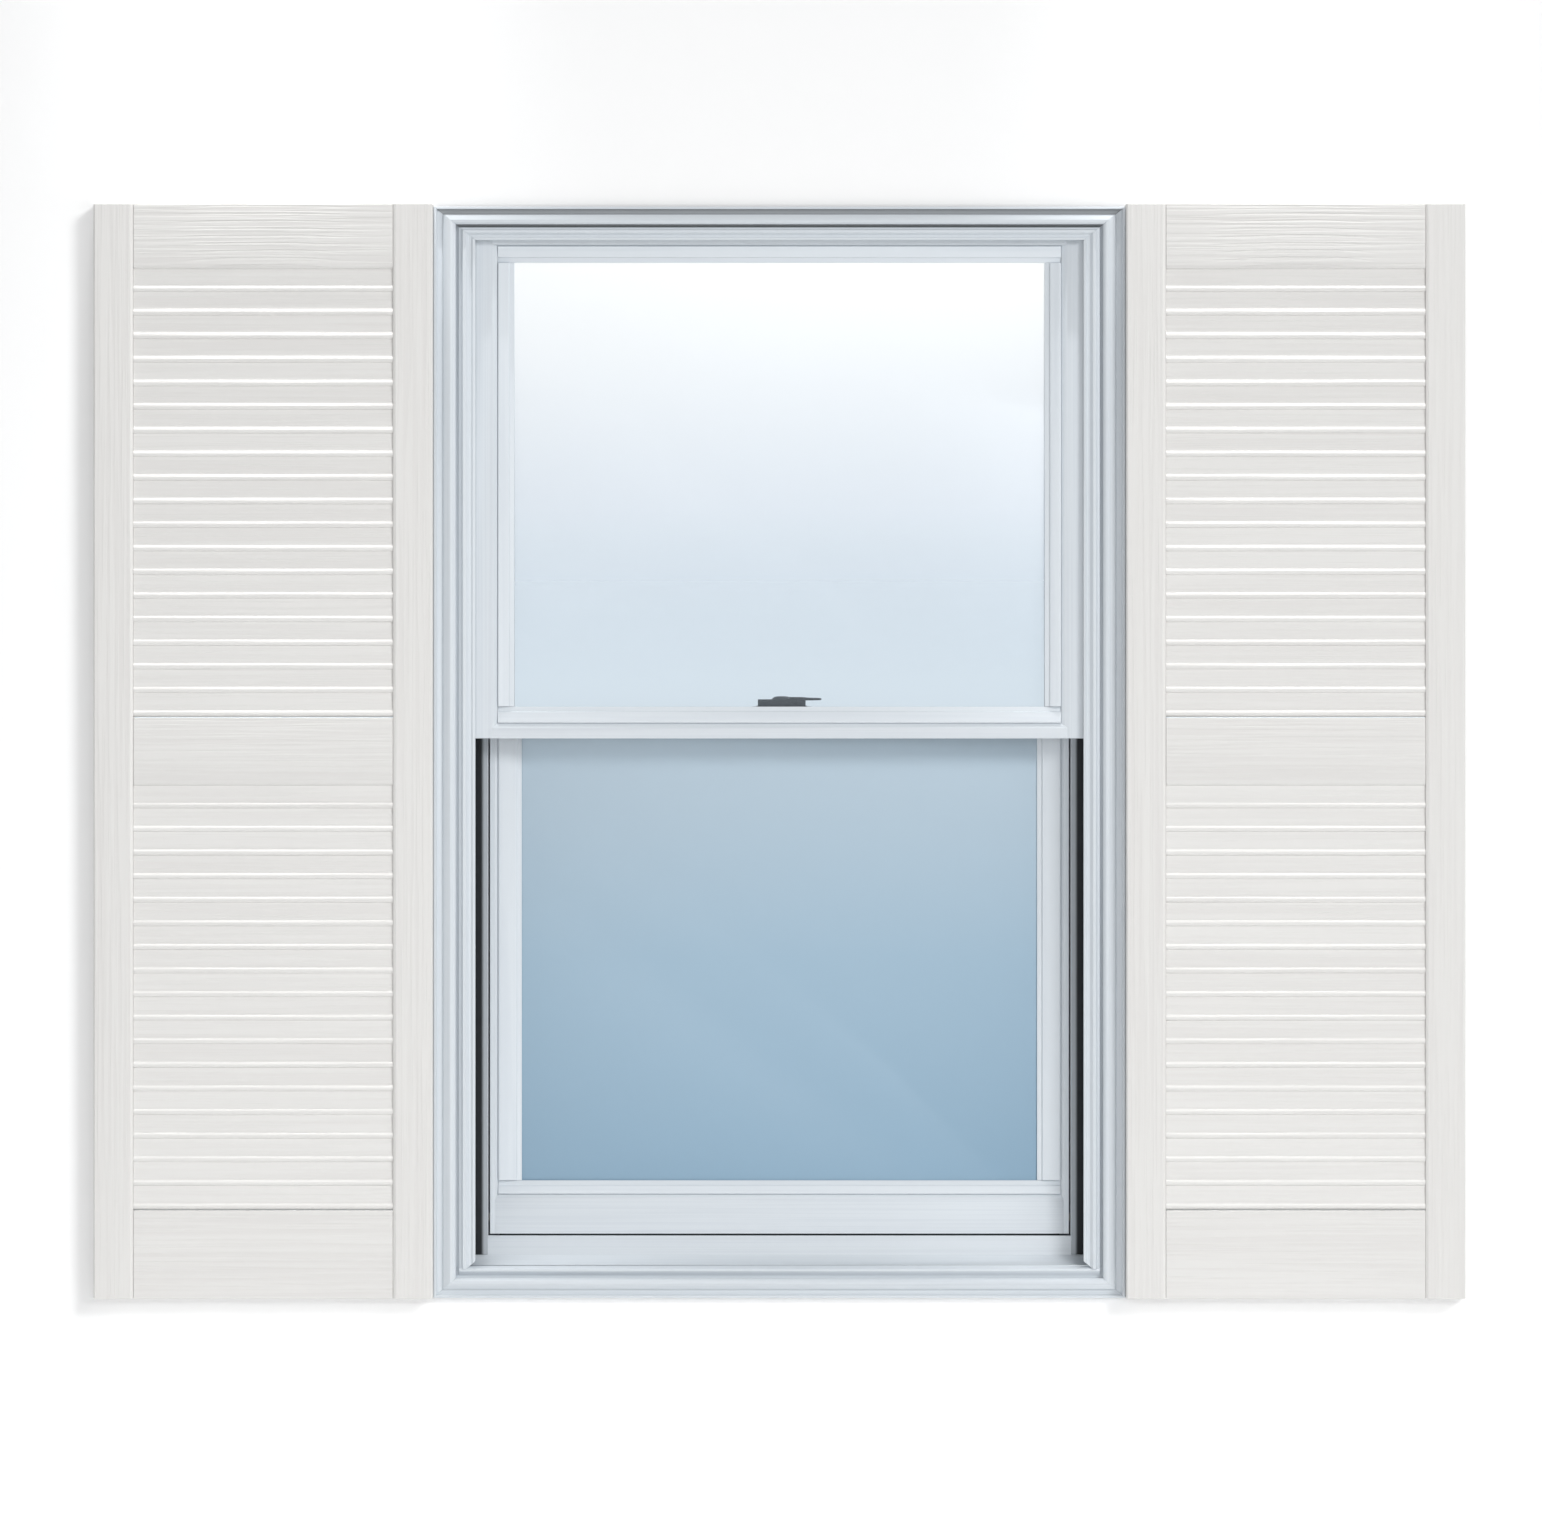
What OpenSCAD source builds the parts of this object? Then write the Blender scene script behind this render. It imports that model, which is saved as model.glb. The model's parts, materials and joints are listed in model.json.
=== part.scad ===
// Pair of fixed louvred shutters either side of the double-hung window that they dress.
// Units are millimetres. X runs to the right as seen from outside, Y runs inwards, Z is up.
// The origin is on the underside of the sill, in the plane of the wall, midway between the shutters.

/* [Shutters] */
// Width of one shutter
shutter_w = 368; // [250:1:600]
// Height of one shutter
shutter_h = 1188; // [800:1:1600]
// Thickness of the stiles, from the wall to their front
shutter_t = 30; // [24:1:45]
// Width of a stile
stile_w = 43; // [30:1:80]
// How far the stiles stand in front of the rails
stile_proud = 2; // [1:0.5:3]
// Width of the bevel along a stile's inner front edge
stile_bevel = 3; // [1:0.5:6]
// Height of the top rail
top_rail_h = 71; // [50:1:140]
// Height of the middle rail
mid_rail_h = 74; // [50:1:140]
// Least height of the bottom rail, which takes up what the louvres leave
bottom_rail_min_h = 92; // [60:1:160]
// Gap between a shutter and the window's casing
shutter_gap = 0.3; // [0.2:0.1:0.8]

/* [Louvres] */
// Height from one louvre to the next
louvre_pitch = 25.6; // [24.5:0.1:32]
// Thickness of a louvre
louvre_t = 4; // [3:0.5:5]
// Radius of the rounded nose along a louvre's front edge
nose_r = 4; // [3.5:0.25:4.25]
// Angle between a louvre and the horizontal
louvre_angle = 75; // [60:1:75]
// Depth of a louvre, from the middle of its nose to its back edge
louvre_depth = 9.5; // [7:0.5:11]
// Length of the tenon on each end of a louvre
louvre_tenon = 6; // [4:1:12]

/* [Window] */
// Width over the casing
window_w = 752; // [600:1:1200]
// Height over the casing
window_h = 1186; // [900:1:1700]
// Width of the casing at the sides
casing_w = 24.2; // [18:0.1:40]
// Width of the head's section as a share of the jamb's
head_ratio = 0.8; // [0.7:0.05:1]
// Width of the bottom casing
foot_casing_w = 21.3; // [16:0.1:36]
// Thickness of the stop on the room side of the sashes
stop_t = 10; // [8:1:30]
// Running clearance beside each sash
track_clearance = 2; // [1:0.5:3]
// Height of the ledge that the lower sash closes on
sill_ledge_h = 66; // [60:1:90]

/* [Sashes] */
// Depth of a sash, from its front to its back
sash_depth = 27; // [27:0.5:34]
// Height of the upper sash's bottom edge
meeting_h = 608; // [450:1:900]
// Height over which the two meeting rails pass each other
meeting_overlap = 32; // [28:1:45]
// Wall of the hollow sash and frame sections
wall_t = 3; // [2:0.5:4]
// Thickness of a pane
pane_t = 3; // [3:0.5:4]
// Space between the two panes of a sash
pane_space = 10; // [6:1:10]

/* [Lock] */
// Radius of the round cap over the sash lock's cam
lock_cap_r = 11; // [8:0.5:12]
// Reach of the cam from its pivot
cam_reach = 17; // [15:0.5:17.5]
// Length of the lock's lever from its pivot
lever_len = 43.5; // [30:0.5:60]

/* [Hidden] */
fit = 0.3;              // small clearance between pieces that seat on each other
tenon_fit = 0.2;        // clearance around a tenon
bead_fit = 0.2;         // clearance at a bead's ends, and of a strip in its seat
chamber_fit = 0.5;      // clearance of a shoe or a liner in its chamber
eps = 1;                // how far a cut runs past a face

// Shutter
rail_t = shutter_t - stile_proud;
field_w = shutter_w - 2 * stile_w;
louvre_count = floor((shutter_h - top_rail_h - mid_rail_h - bottom_rail_min_h) / louvre_pitch);
upper_count = ceil(louvre_count / 2);
lower_count = louvre_count - upper_count;
bottom_rail_h = shutter_h - top_rail_h - mid_rail_h - louvre_count * louvre_pitch;
mid_rail_z = bottom_rail_h + lower_count * louvre_pitch;
upper_field_z = mid_rail_z + mid_rail_h;
top_rail_z = shutter_h - top_rail_h;
nose_set = 0.5;                                 // noses lie this far behind the rails' face
nose_y = -rail_t + nose_set + nose_r;
louvre_back_y = nose_y + louvre_depth;
nose_lift = nose_r + 0.8;                       // nose centre above the foot of its cell
nosed_slope_y = -rail_t + nose_r + 2;           // where a nosed rail's underside starts to rise
nosed_rise = (louvre_back_y - nosed_slope_y) * tan(louvre_angle);
nosed_tenon_z = nosed_rise + 4;                 // tenon's start above a nosed rail's edge
louvre_len = louvre_depth / cos(louvre_angle);
rail_tenon = [30, 12, 10];                      // length, thickness, and set-in at top and bottom
edge_bevel = 1.5;                               // bevel along a shutter's outer edges
shutter_x = window_w / 2 + shutter_gap + shutter_w / 2;

// Window frame: u runs inwards from the casing's outer edge, y runs inwards from the wall
half_w = window_w / 2;
foot_ratio = foot_casing_w / casing_w;
casing_back = -3.2;
casing_outline = [[0, casing_back], [0, -9], [0.13, -10], [0.15, -5.5], [0.42, -5.5], [0.44, -8],
                  [0.74, -14], [0.88, -14], [1, -12], [1, casing_back]];
fin_t = 3;
fin_edge = 1;                                   // the fin ends this far inside the casing's edge
lip_u = casing_w + 3.3;                         // lip beside the casing, past a narrow groove
lip_w = 17.9;
lip_back = -1.5;
track_u = lip_u + 7.5;                          // side wall of the outer track
sash_front_gap = 0.7;                           // between the lip and the upper sash
upper_back_gap = 2.8;                           // between the upper sash and the step of its track
lower_front_gap = 3.2;                          // between that step and the lower sash
sash_stop_gap = 0.8;                            // between the lower sash and the stop
track_y = lip_back + sash_front_gap + sash_depth + upper_back_gap;  // step between the tracks
inner_track_u = track_u + 23.5;                 // side wall of the inner track
stop_u = inner_track_u + 11.5;                  // edge of the stop on the room side
stop_y = track_y + lower_front_gap + sash_depth + sash_stop_gap;
frame_depth = stop_y + stop_t;
body_u = lip_u - 13.5;                          // outer face of the frame behind the wall
frame_outline = [
    [lip_u, -fin_t], [lip_u, -6.5], [lip_u + 3, -8], [lip_u + 4.5, -11], [lip_u + 7.8, -11],
    [lip_u + 11, -7.5], [lip_u + 14, -7.5], [lip_u + 15, -9.5], [lip_u + lip_w, -9],
    [lip_u + lip_w, lip_back], [track_u, lip_back], [track_u, track_y],
    [inner_track_u, track_y], [inner_track_u, stop_y], [stop_u, stop_y],
    [stop_u, frame_depth], [body_u, frame_depth], [body_u, 0], [fin_edge, 0], [fin_edge, -fin_t]];
inner_wall_t = 3.5;                             // walls before and behind the inner chambers
inner_chamber_u = inner_track_u - 22.5;
chamber_y = [[wall_t, track_y - wall_t], [track_y + inner_wall_t, stop_y - inner_wall_t]];
balance_u = [[body_u + wall_t, track_u - wall_t], [inner_chamber_u, inner_track_u - wall_t]];
spare_u = [body_u + wall_t, inner_chamber_u - wall_t];
liner_t = 1.6;
jamb_screw_r = 2.75;
jamb_screw_y = (stop_y - inner_wall_t + frame_depth) / 2 + 1;
jamb_screw_z = [300, 900];

// Sill: y and z of its section
sill_nose_y = -9;
sill_nose_z = [for (rise = [2.7, 7.7, 10.2]) foot_casing_w + rise];
sill_step_z = sill_nose_z[2] + 13.5;
sill_stop_h = 16;
function sill_slope_z(y) =
    sill_nose_z[2] + (y - sill_nose_y) * (sill_step_z - sill_nose_z[2]) / (track_y - sill_nose_y);

// Sash sections: t runs inwards from the sash's edge, d from its front to its back
bead_seat_d = 6.5;
pane_d = bead_seat_d + fit;
unit_t = 2 * pane_t + pane_space;
lip_d = pane_d + unit_t + fit;
rebate_set = 6;                                 // rebate beyond the bead's edge
unit_gap = 3;                                   // space around the sealed unit
face_drop = 3;                                  // depth of the bevel beside a bead
function sash_outline(face, bevel, bead) = [
    [0, 0], [face - bevel, 0], [face, face_drop], [face, bead_seat_d],
    [face + rebate_set, bead_seat_d], [face + rebate_set, lip_d], [face + bead, lip_d],
    [face + bead, sash_depth], [0, sash_depth]];
function bead_outline(bead) = [
    [0.2, 6.3], [0.2, 1.2], [1.6, 0.4], [bead - 6, 2.6], [bead - 5, 4.6], [bead, 5.2], [bead, 6.3]];

// Each sash: half width, bottom, top, front, then stile, top and bottom [face, bevel, bead]
closing_gap = 2;                                // between a sash and the head or the ledge it meets
upper_half = half_w - track_u - track_clearance;
upper_top = window_h - head_ratio * track_u - closing_gap;
upper = [upper_half, meeting_h, upper_top, lip_back + sash_front_gap,
         [32.5, 6.5, 18], [12.4, 1.9, 18], [16.6, 5, 18]];
lower_half = half_w - inner_track_u - track_clearance;
lower = [lower_half, sill_ledge_h + closing_gap, meeting_h + meeting_overlap,
         track_y + lower_front_gap, [8.5, 3, 26], [10, 1.9, 18], [43, 6, 15]];
function unit_x(s) = s[0] - s[4][0] - rebate_set - unit_gap;
function unit_z0(s) = s[1] + s[6][0] + rebate_set + unit_gap;
function unit_z1(s) = s[2] - s[5][0] - rebate_set - unit_gap;

// Balances: a tube fixed in the jamb, a rod that runs in it and a shoe that carries the sash
tube_r = 6.5;
tube_bore_r = 4.5;
rod_r = 3;
shoe_h = 30;
shoe_gap = 4;                                   // between the upper shoe and its tube at rest
rod_hold = 22;                                  // rod left in its tube at full stretch
rod_seat = 12;                                  // depth of the rod's hole in its shoe
rod_spare = 6;                                  // between a rod's end and its tube's at rest
stroke_spare = 10;                              // tube left clear of the lower shoe at its highest
shoe_arm_z = 10;
shoe_arm_h = 8;
slot_w = 8;                                     // slots that the shoes' arms reach through
slot_y = [for (front = [upper[3] + 10.8, lower[3] + 9.8]) [front, front + slot_w]];
upper_shoe_z = upper[1];
upper_tube_z = [upper_shoe_z + shoe_h + shoe_gap, upper[2] - 6];
upper_rod_top = upper_tube_z[1] - rod_spare;
travel = upper_rod_top - upper_tube_z[0] - rod_hold;
lower_shoe_z = lower[1] + 4;
lower_tube_z = [lower_shoe_z + shoe_h + travel + stroke_spare,
                window_h - head_ratio * inner_track_u - 9];
lower_rod_top = lower_tube_z[0] + rod_hold + rod_spare;

// Lock on the lower sash's top rail, and its keeper on the upper sash's back
lock_x = 2.5;
lock_y = lower[3] + 13.8;
lock_z = lower[2];
lock_plate_t = 3;
lock_disc_r = 12.8;
cam_t = 5;
cam_r = 10;
cam_nose_w = 12;
cam_z = lock_z + lock_plate_t + fit;
cap_z = cam_z + cam_t;
cap_t = 6;
lever_end_r = 5;
post_r = 3.5;
post_fit = 0.1;                                 // around the lock's post and in a rod's seat
keeper_y = upper[3] + sash_depth;
keeper_plate_t = 1.2;
keeper_depth = lower[3] - keeper_y - 0.6;
keeper_half = 26;
keeper_hook_t = 2;
keeper_hook_gap = 0.4;                          // between the cam and the hook over it
keeper_z = [upper[1] + 22, cap_z + keeper_hook_gap + keeper_hook_t];
screw_r = 2;
screw_bore_r = 2.2;
screw_head_r = 3.2;
screw_head_t = 1.2;
lock_screw_x = [-22, 27];
lock_screw_len = 12;
keeper_screw_x = 18;
keeper_screw_z = keeper_z[0] + 5;
keeper_screw_len = 3;

shutter_white = [0.91, 0.905, 0.89];
vinyl_white = [0.88, 0.9, 0.92];
bead_white = [0.92, 0.94, 0.95];
liner_dark = [0.16, 0.17, 0.18];
glass_blue = [0.72, 0.82, 0.88, 0.5];
steel = [0.7, 0.71, 0.72];
nylon = [0.93, 0.93, 0.9];
lock_dark = [0.08, 0.085, 0.09];
rubber_dark = [0.12, 0.12, 0.13];

$fn = 48;

// ---------------------------------------------------------------- helpers

// Extrudes a section drawn in Y and Z along X, centred
module along_x(len) {
    translate([-len / 2, 0, 0]) rotate([90, 0, 90]) linear_extrude(len) children();
}

// Extrudes an outline drawn in X and Z through the whole depth of the window
module through_depth() {
    translate([0, frame_depth + 20, 0]) rotate([90, 0, 0])
        linear_extrude(frame_depth + 60) children();
}

// A rounded-end bar seen end on: a louvre's section, with its nose at the origin
module louvre_section() {
    circle(r = nose_r);
    rotate(louvre_angle) {
        translate([0, -louvre_t / 2]) square([louvre_len, louvre_t]);
        translate([louvre_len, 0]) circle(r = louvre_t / 2);
    }
}

// The short tenon on each end of a louvre, larger by grow all round
module louvre_tenon_bar(len, grow) {
    rotate([louvre_angle, 0, 0])
        translate([-len / 2, nose_r + 1 - grow, -louvre_t / 2 + 0.5 - grow])
            cube([len, louvre_len - nose_r - 4 + 2 * grow, louvre_t - 1 + 2 * grow]);
}

// ---------------------------------------------------------------- shutters

module at_louvres(first_z, count) {
    for (i = [0 : count - 1])
        translate([0, nose_y, first_z + i * louvre_pitch + nose_lift]) children();
}

module louvre_bank(first_z, count) {
    color(shutter_white) at_louvres(first_z, count) {
        along_x(field_w - 2 * tenon_fit) louvre_section();
        louvre_tenon_bar(field_w + 2 * louvre_tenon, 0);
    }
}

// The tenons of a rail, which run through its middle
module rail_tenon_bar(z0, z1, grow) {
    len = field_w + 2 * (rail_tenon[0] + grow);
    translate([-len / 2, -rail_t / 2 - rail_tenon[1] / 2 - grow, z0 - grow])
        cube([len, rail_tenon[1] + 2 * grow, z1 - z0 + 2 * grow]);
}

// A rail over a field of louvres: its underside slopes as they do, and its edge has their nose
module nosed_rail(under_z, over_z) {
    ceiling_z = under_z + nosed_rise;
    color(shutter_white) {
        along_x(field_w - 2 * tenon_fit) {
            polygon([[-rail_t, under_z + nose_r], [-rail_t + nose_r, under_z],
                     [nosed_slope_y, under_z], [louvre_back_y, ceiling_z], [0, ceiling_z],
                     [0, over_z], [-rail_t, over_z]]);
            translate([-rail_t + nose_r, under_z + nose_r]) circle(r = nose_r);
        }
        rail_tenon_bar(under_z + nosed_tenon_z, over_z - rail_tenon[2], 0);
    }
}

module plain_rail(under_z, over_z) {
    color(shutter_white) {
        along_x(field_w - 2 * tenon_fit)
            polygon([[-rail_t, under_z], [0, under_z], [0, over_z], [-rail_t, over_z]]);
        rail_tenon_bar(under_z + rail_tenon[2], over_z - rail_tenon[2], 0);
    }
}

// Everything that is cut into the stiles for the rails and the louvres
module stile_mortises() {
    rail_tenon_bar(rail_tenon[2], bottom_rail_h - rail_tenon[2], tenon_fit);
    rail_tenon_bar(mid_rail_z + nosed_tenon_z, upper_field_z - rail_tenon[2], tenon_fit);
    rail_tenon_bar(top_rail_z + nosed_tenon_z, shutter_h - rail_tenon[2], tenon_fit);
    for (field = [[bottom_rail_h, lower_count], [upper_field_z, upper_count]])
        at_louvres(field[0], field[1])
            louvre_tenon_bar(field_w + 2 * (louvre_tenon + tenon_fit), tenon_fit);
}

// The stile on the +X side of a shutter's middle
module stile() {
    color(shutter_white) difference() {
        translate([field_w / 2, 0, 0]) linear_extrude(shutter_h) polygon([
            [0, 0], [stile_w, 0], [stile_w, -shutter_t + edge_bevel],
            [stile_w - edge_bevel, -shutter_t], [stile_bevel, -shutter_t], [0, -rail_t]]);
        stile_mortises();
    }
}

module left_shutter() { translate([-shutter_x, 0, 0]) children(); }
module right_shutter() { translate([shutter_x, 0, 0]) children(); }

module left_outer_stile() { left_shutter() mirror([1, 0, 0]) stile(); }
module left_inner_stile() { left_shutter() stile(); }
module left_top_rail() { left_shutter() nosed_rail(top_rail_z, shutter_h); }
module left_mid_rail() { left_shutter() nosed_rail(mid_rail_z, upper_field_z); }
module left_bottom_rail() { left_shutter() plain_rail(0, bottom_rail_h); }
module left_upper_louvres() { left_shutter() louvre_bank(upper_field_z, upper_count); }
module left_lower_louvres() { left_shutter() louvre_bank(bottom_rail_h, lower_count); }

module right_outer_stile() { right_shutter() stile(); }
module right_inner_stile() { right_shutter() mirror([1, 0, 0]) stile(); }
module right_top_rail() { right_shutter() nosed_rail(top_rail_z, shutter_h); }
module right_mid_rail() { right_shutter() nosed_rail(mid_rail_z, upper_field_z); }
module right_bottom_rail() { right_shutter() plain_rail(0, bottom_rail_h); }
module right_upper_louvres() { right_shutter() louvre_bank(upper_field_z, upper_count); }
module right_lower_louvres() { right_shutter() louvre_bank(bottom_rail_h, lower_count); }

// ---------------------------------------------------------------- casing and frame

// The part of the front that belongs to the right-hand side, between its two mitres
module right_side_region() {
    u = stop_u + eps;
    through_depth() polygon([
        [half_w + eps, -foot_ratio * eps], [half_w + eps, window_h + head_ratio * eps],
        [half_w - u, window_h - head_ratio * u], [half_w - u, foot_ratio * u]]);
}

// The part that belongs to the top, between the head's two mitres
module top_region() {
    u = stop_u + eps;
    x = half_w + eps;
    through_depth() polygon([
        [-x, window_h + head_ratio * eps], [x, window_h + head_ratio * eps],
        [half_w - u, window_h - head_ratio * u], [u - half_w, window_h - head_ratio * u]]);
}

module casing_side() {
    color(vinyl_white) intersection() {
        linear_extrude(window_h)
            polygon([for (p = casing_outline) [half_w - p[0] * casing_w, p[1]]]);
        right_side_region();
    }
}
module casing_right() { casing_side(); }
module casing_left() { mirror([1, 0, 0]) casing_side(); }

module casing_top() {
    color(vinyl_white) intersection() {
        along_x(window_w) polygon([for (p = casing_outline)
            [p[1], window_h - p[0] * casing_w * head_ratio]]);
        top_region();
    }
}

module casing_bottom() {
    u = casing_w;
    color(vinyl_white) intersection() {
        along_x(window_w) polygon([for (p = casing_outline) [p[1], p[0] * u * foot_ratio]]);
        through_depth() polygon([
            [-half_w, 0], [half_w, 0], [half_w - u, foot_ratio * u], [u - half_w, foot_ratio * u]]);
    }
}

// What the sill takes away from the foot of each jamb
module sill_cutter() {
    along_x(window_w + 2 * eps) polygon([
        [-30, -eps], [-30, sill_nose_z[2]], [sill_nose_y, sill_nose_z[2]],
        [track_y, sill_step_z], [track_y, sill_ledge_h], [stop_y, sill_ledge_h],
        [stop_y, sill_ledge_h + sill_stop_h], [frame_depth + eps, sill_ledge_h + sill_stop_h],
        [frame_depth + eps, -eps]]);
}

module jamb() {
    color(vinyl_white) difference() {
        intersection() {
            linear_extrude(window_h) polygon([for (p = frame_outline) [half_w - p[0], p[1]]]);
            right_side_region();
        }
        for (i = [0, 1]) {
            translate([half_w - balance_u[i][1], chamber_y[i][0], -eps])
                cube([balance_u[i][1] - balance_u[i][0], chamber_y[i][1] - chamber_y[i][0],
                      window_h + 2 * eps]);
            translate([half_w - balance_u[i][1] - wall_t - eps, slot_y[i][0], -eps])
                cube([wall_t + 2 * eps, slot_y[i][1] - slot_y[i][0], window_h]);
        }
        translate([half_w - spare_u[1], chamber_y[1][0], -eps])
            cube([spare_u[1] - spare_u[0], chamber_y[1][1] - chamber_y[1][0], window_h + 2 * eps]);
        sill_cutter();
        for (z = jamb_screw_z)
            translate([half_w - stop_u - eps, jamb_screw_y, z]) rotate([0, 90, 0])
                cylinder(r = jamb_screw_r, h = stop_u - body_u + 2 * eps);
    }
}
module frame_jamb_right() { jamb(); }
module frame_jamb_left() { mirror([1, 0, 0]) jamb(); }

module frame_head() {
    color(vinyl_white) difference() {
        intersection() {
            along_x(window_w)
                polygon([for (p = frame_outline) [p[1], window_h - p[0] * head_ratio]]);
            top_region();
        }
        for (c = [[balance_u[0], chamber_y[0]], [balance_u[1], chamber_y[1]],
                  [spare_u, chamber_y[1]]])
            translate([-half_w, c[1][0], window_h - head_ratio * c[0][1]])
                cube([window_w, c[1][1] - c[1][0], head_ratio * (c[0][1] - c[0][0])]);
    }
}

module frame_sill() {
    body_w = window_w - 2 * body_u;
    color(vinyl_white) difference() {
        union() {
            along_x(body_w) polygon([
                [-fin_t, sill_slope_z(-fin_t)], [track_y, sill_step_z],
                [track_y, sill_ledge_h], [stop_y, sill_ledge_h],
                [stop_y, sill_ledge_h + sill_stop_h], [frame_depth, sill_ledge_h + sill_stop_h],
                [frame_depth, 0], [-fin_t, 0]]);
            along_x(window_w - 2 * lip_u) polygon([
                [-fin_t, sill_nose_z[0]], [sill_nose_y, sill_nose_z[1]],
                [sill_nose_y, sill_nose_z[2]], [-fin_t, sill_slope_z(-fin_t)]]);
            along_x(window_w - 2 * fin_edge) polygon([
                [-fin_t, 0], [-fin_t, sill_slope_z(-fin_t)], [0, sill_slope_z(0)], [0, 0]]);
        }
        for (c = [[chamber_y[0], sill_slope_z(0) - wall_t - 1], [chamber_y[1], sill_ledge_h - wall_t]])
            translate([-body_w / 2 + wall_t, c[0][0], wall_t])
                cube([body_w - 2 * wall_t, c[0][1] - c[0][0], c[1] - wall_t]);
    }
}

// Dark strip on the step between the two tracks
module track_liner() {
    color(liner_dark)
        translate([half_w - inner_track_u + chamber_fit, track_y - liner_t,
                   sill_step_z + chamber_fit])
            cube([inner_track_u - track_u - 2 * chamber_fit, liner_t,
                  window_h - head_ratio * inner_track_u - sill_step_z - 2 * chamber_fit]);
}
module track_liner_right() { track_liner(); }
module track_liner_left() { mirror([1, 0, 0]) track_liner(); }

// ---------------------------------------------------------------- sashes

function shifted(outline, y) = [for (p = outline) [p[0], p[1] + y]];

// The whole outline of a sash's two stiles, without their hollows
module stile_envelopes(s) {
    for (side = [0, 1]) mirror([side, 0, 0]) translate([0, 0, s[1] - eps])
        linear_extrude(s[2] - s[1] + 2 * eps)
            polygon([for (p = shifted(sash_outline(s[4][0], s[4][1], s[4][2]), s[3]))
                [s[0] - p[0] + (p[0] == 0 ? eps : 0), p[1]]]);
}

// A sash's right stile. shoe_z is where its balance shoe takes hold
module sash_stile(s, shoe_z, slot) {
    width = s[4][0] + rebate_set;
    color(vinyl_white) difference() {
        translate([0, 0, s[1]]) linear_extrude(s[2] - s[1])
            polygon([for (p = shifted(sash_outline(s[4][0], s[4][1], s[4][2]), s[3]))
                [s[0] - p[0], p[1]]]);
        translate([s[0] - width + wall_t, s[3] + bead_seat_d + wall_t, s[1] - eps])
            cube([width - 2 * wall_t, sash_depth - bead_seat_d - 2 * wall_t, s[2] - s[1] + 2 * eps]);
        translate([s[0] - wall_t - eps, slot[0] + bead_fit, shoe_z + shoe_arm_z - fit])
            cube([wall_t + 2 * eps, slot_w - 2 * bead_fit, shoe_arm_h + 2 * fit]);
    }
}

// A rail between the stiles. It follows the stiles' section at its ends
module sash_rail(s, edge_z, up, member) {
    wall_z = member[0] + rebate_set - wall_t;
    color(vinyl_white) difference() {
        along_x(2 * s[0]) polygon([
            for (p = shifted(sash_outline(member[0], member[1], member[2]), s[3]))
                [p[1], edge_z + up * p[0]]]);
        translate([-s[0], s[3] + bead_seat_d + wall_t,
                   up > 0 ? edge_z + wall_t : edge_z - wall_z])
            cube([2 * s[0], sash_depth - bead_seat_d - 2 * wall_t, wall_z - wall_t]);
        stile_envelopes(s);
    }
}

// Glazing beads: the top and bottom ones run between the stiles, the side ones between them
module glazing_beads(s) {
    len = 2 * (s[0] - s[4][0]);
    side_z0 = s[1] + s[6][0] + s[6][2] + bead_fit;
    side_z1 = s[2] - s[5][0] - s[5][2] - bead_fit;
    color(bead_white) {
        along_x(len - 2 * bead_fit) polygon([for (p = bead_outline(s[5][2]))
            [s[3] + p[1], s[2] - s[5][0] - p[0]]]);
        along_x(len - 2 * bead_fit) polygon([for (p = bead_outline(s[6][2]))
            [s[3] + p[1], s[1] + s[6][0] + p[0]]]);
        for (side = [0, 1]) mirror([side, 0, 0]) translate([0, 0, side_z0])
            linear_extrude(side_z1 - side_z0) polygon([for (p = bead_outline(s[4][2]))
                [s[0] - s[4][0] - p[0], s[3] + p[1]]]);
    }
}

module pane(s, d) {
    color(glass_blue) translate([-unit_x(s), s[3] + d, unit_z0(s)])
        cube([2 * unit_x(s), pane_t, unit_z1(s) - unit_z0(s)]);
}

module spacer_bar(s) {
    bar = 7;
    h = unit_z1(s) - unit_z0(s);
    color(steel) translate([-unit_x(s), s[3] + pane_d + pane_t, unit_z0(s)]) difference() {
        cube([2 * unit_x(s), pane_space, h]);
        translate([bar, -eps, bar]) cube([2 * (unit_x(s) - bar), pane_space + 2 * eps, h - 2 * bar]);
    }
}

// Two blocks that the sealed unit stands on
module setting_blocks(s) {
    block = [80, unit_t, unit_gap];
    color(rubber_dark) for (side = [-1, 1])
        translate([side * unit_x(s) / 2 - block[0] / 2, s[3] + pane_d, unit_z0(s) - unit_gap])
            cube(block);
}

module upper_sash_right_stile() { sash_stile(upper, upper_shoe_z, slot_y[0]); }
module upper_sash_left_stile() { mirror([1, 0, 0]) sash_stile(upper, upper_shoe_z, slot_y[0]); }
module upper_sash_top_rail() { sash_rail(upper, upper[2], -1, upper[5]); }
module upper_sash_meeting_rail() {
    difference() {
        sash_rail(upper, upper[1], 1, upper[6]);
        for (x = [-1, 1]) translate([x * keeper_screw_x, keeper_y + eps, keeper_screw_z])
            rotate([90, 0, 0]) cylinder(r = screw_bore_r, h = keeper_screw_len + eps);
    }
}
module upper_sash_glazing_beads() { glazing_beads(upper); }
module upper_sash_outer_pane() { pane(upper, pane_d); }
module upper_sash_inner_pane() { pane(upper, pane_d + pane_t + pane_space); }
module upper_sash_spacer() { spacer_bar(upper); }
module upper_sash_setting_blocks() { setting_blocks(upper); }

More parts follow.
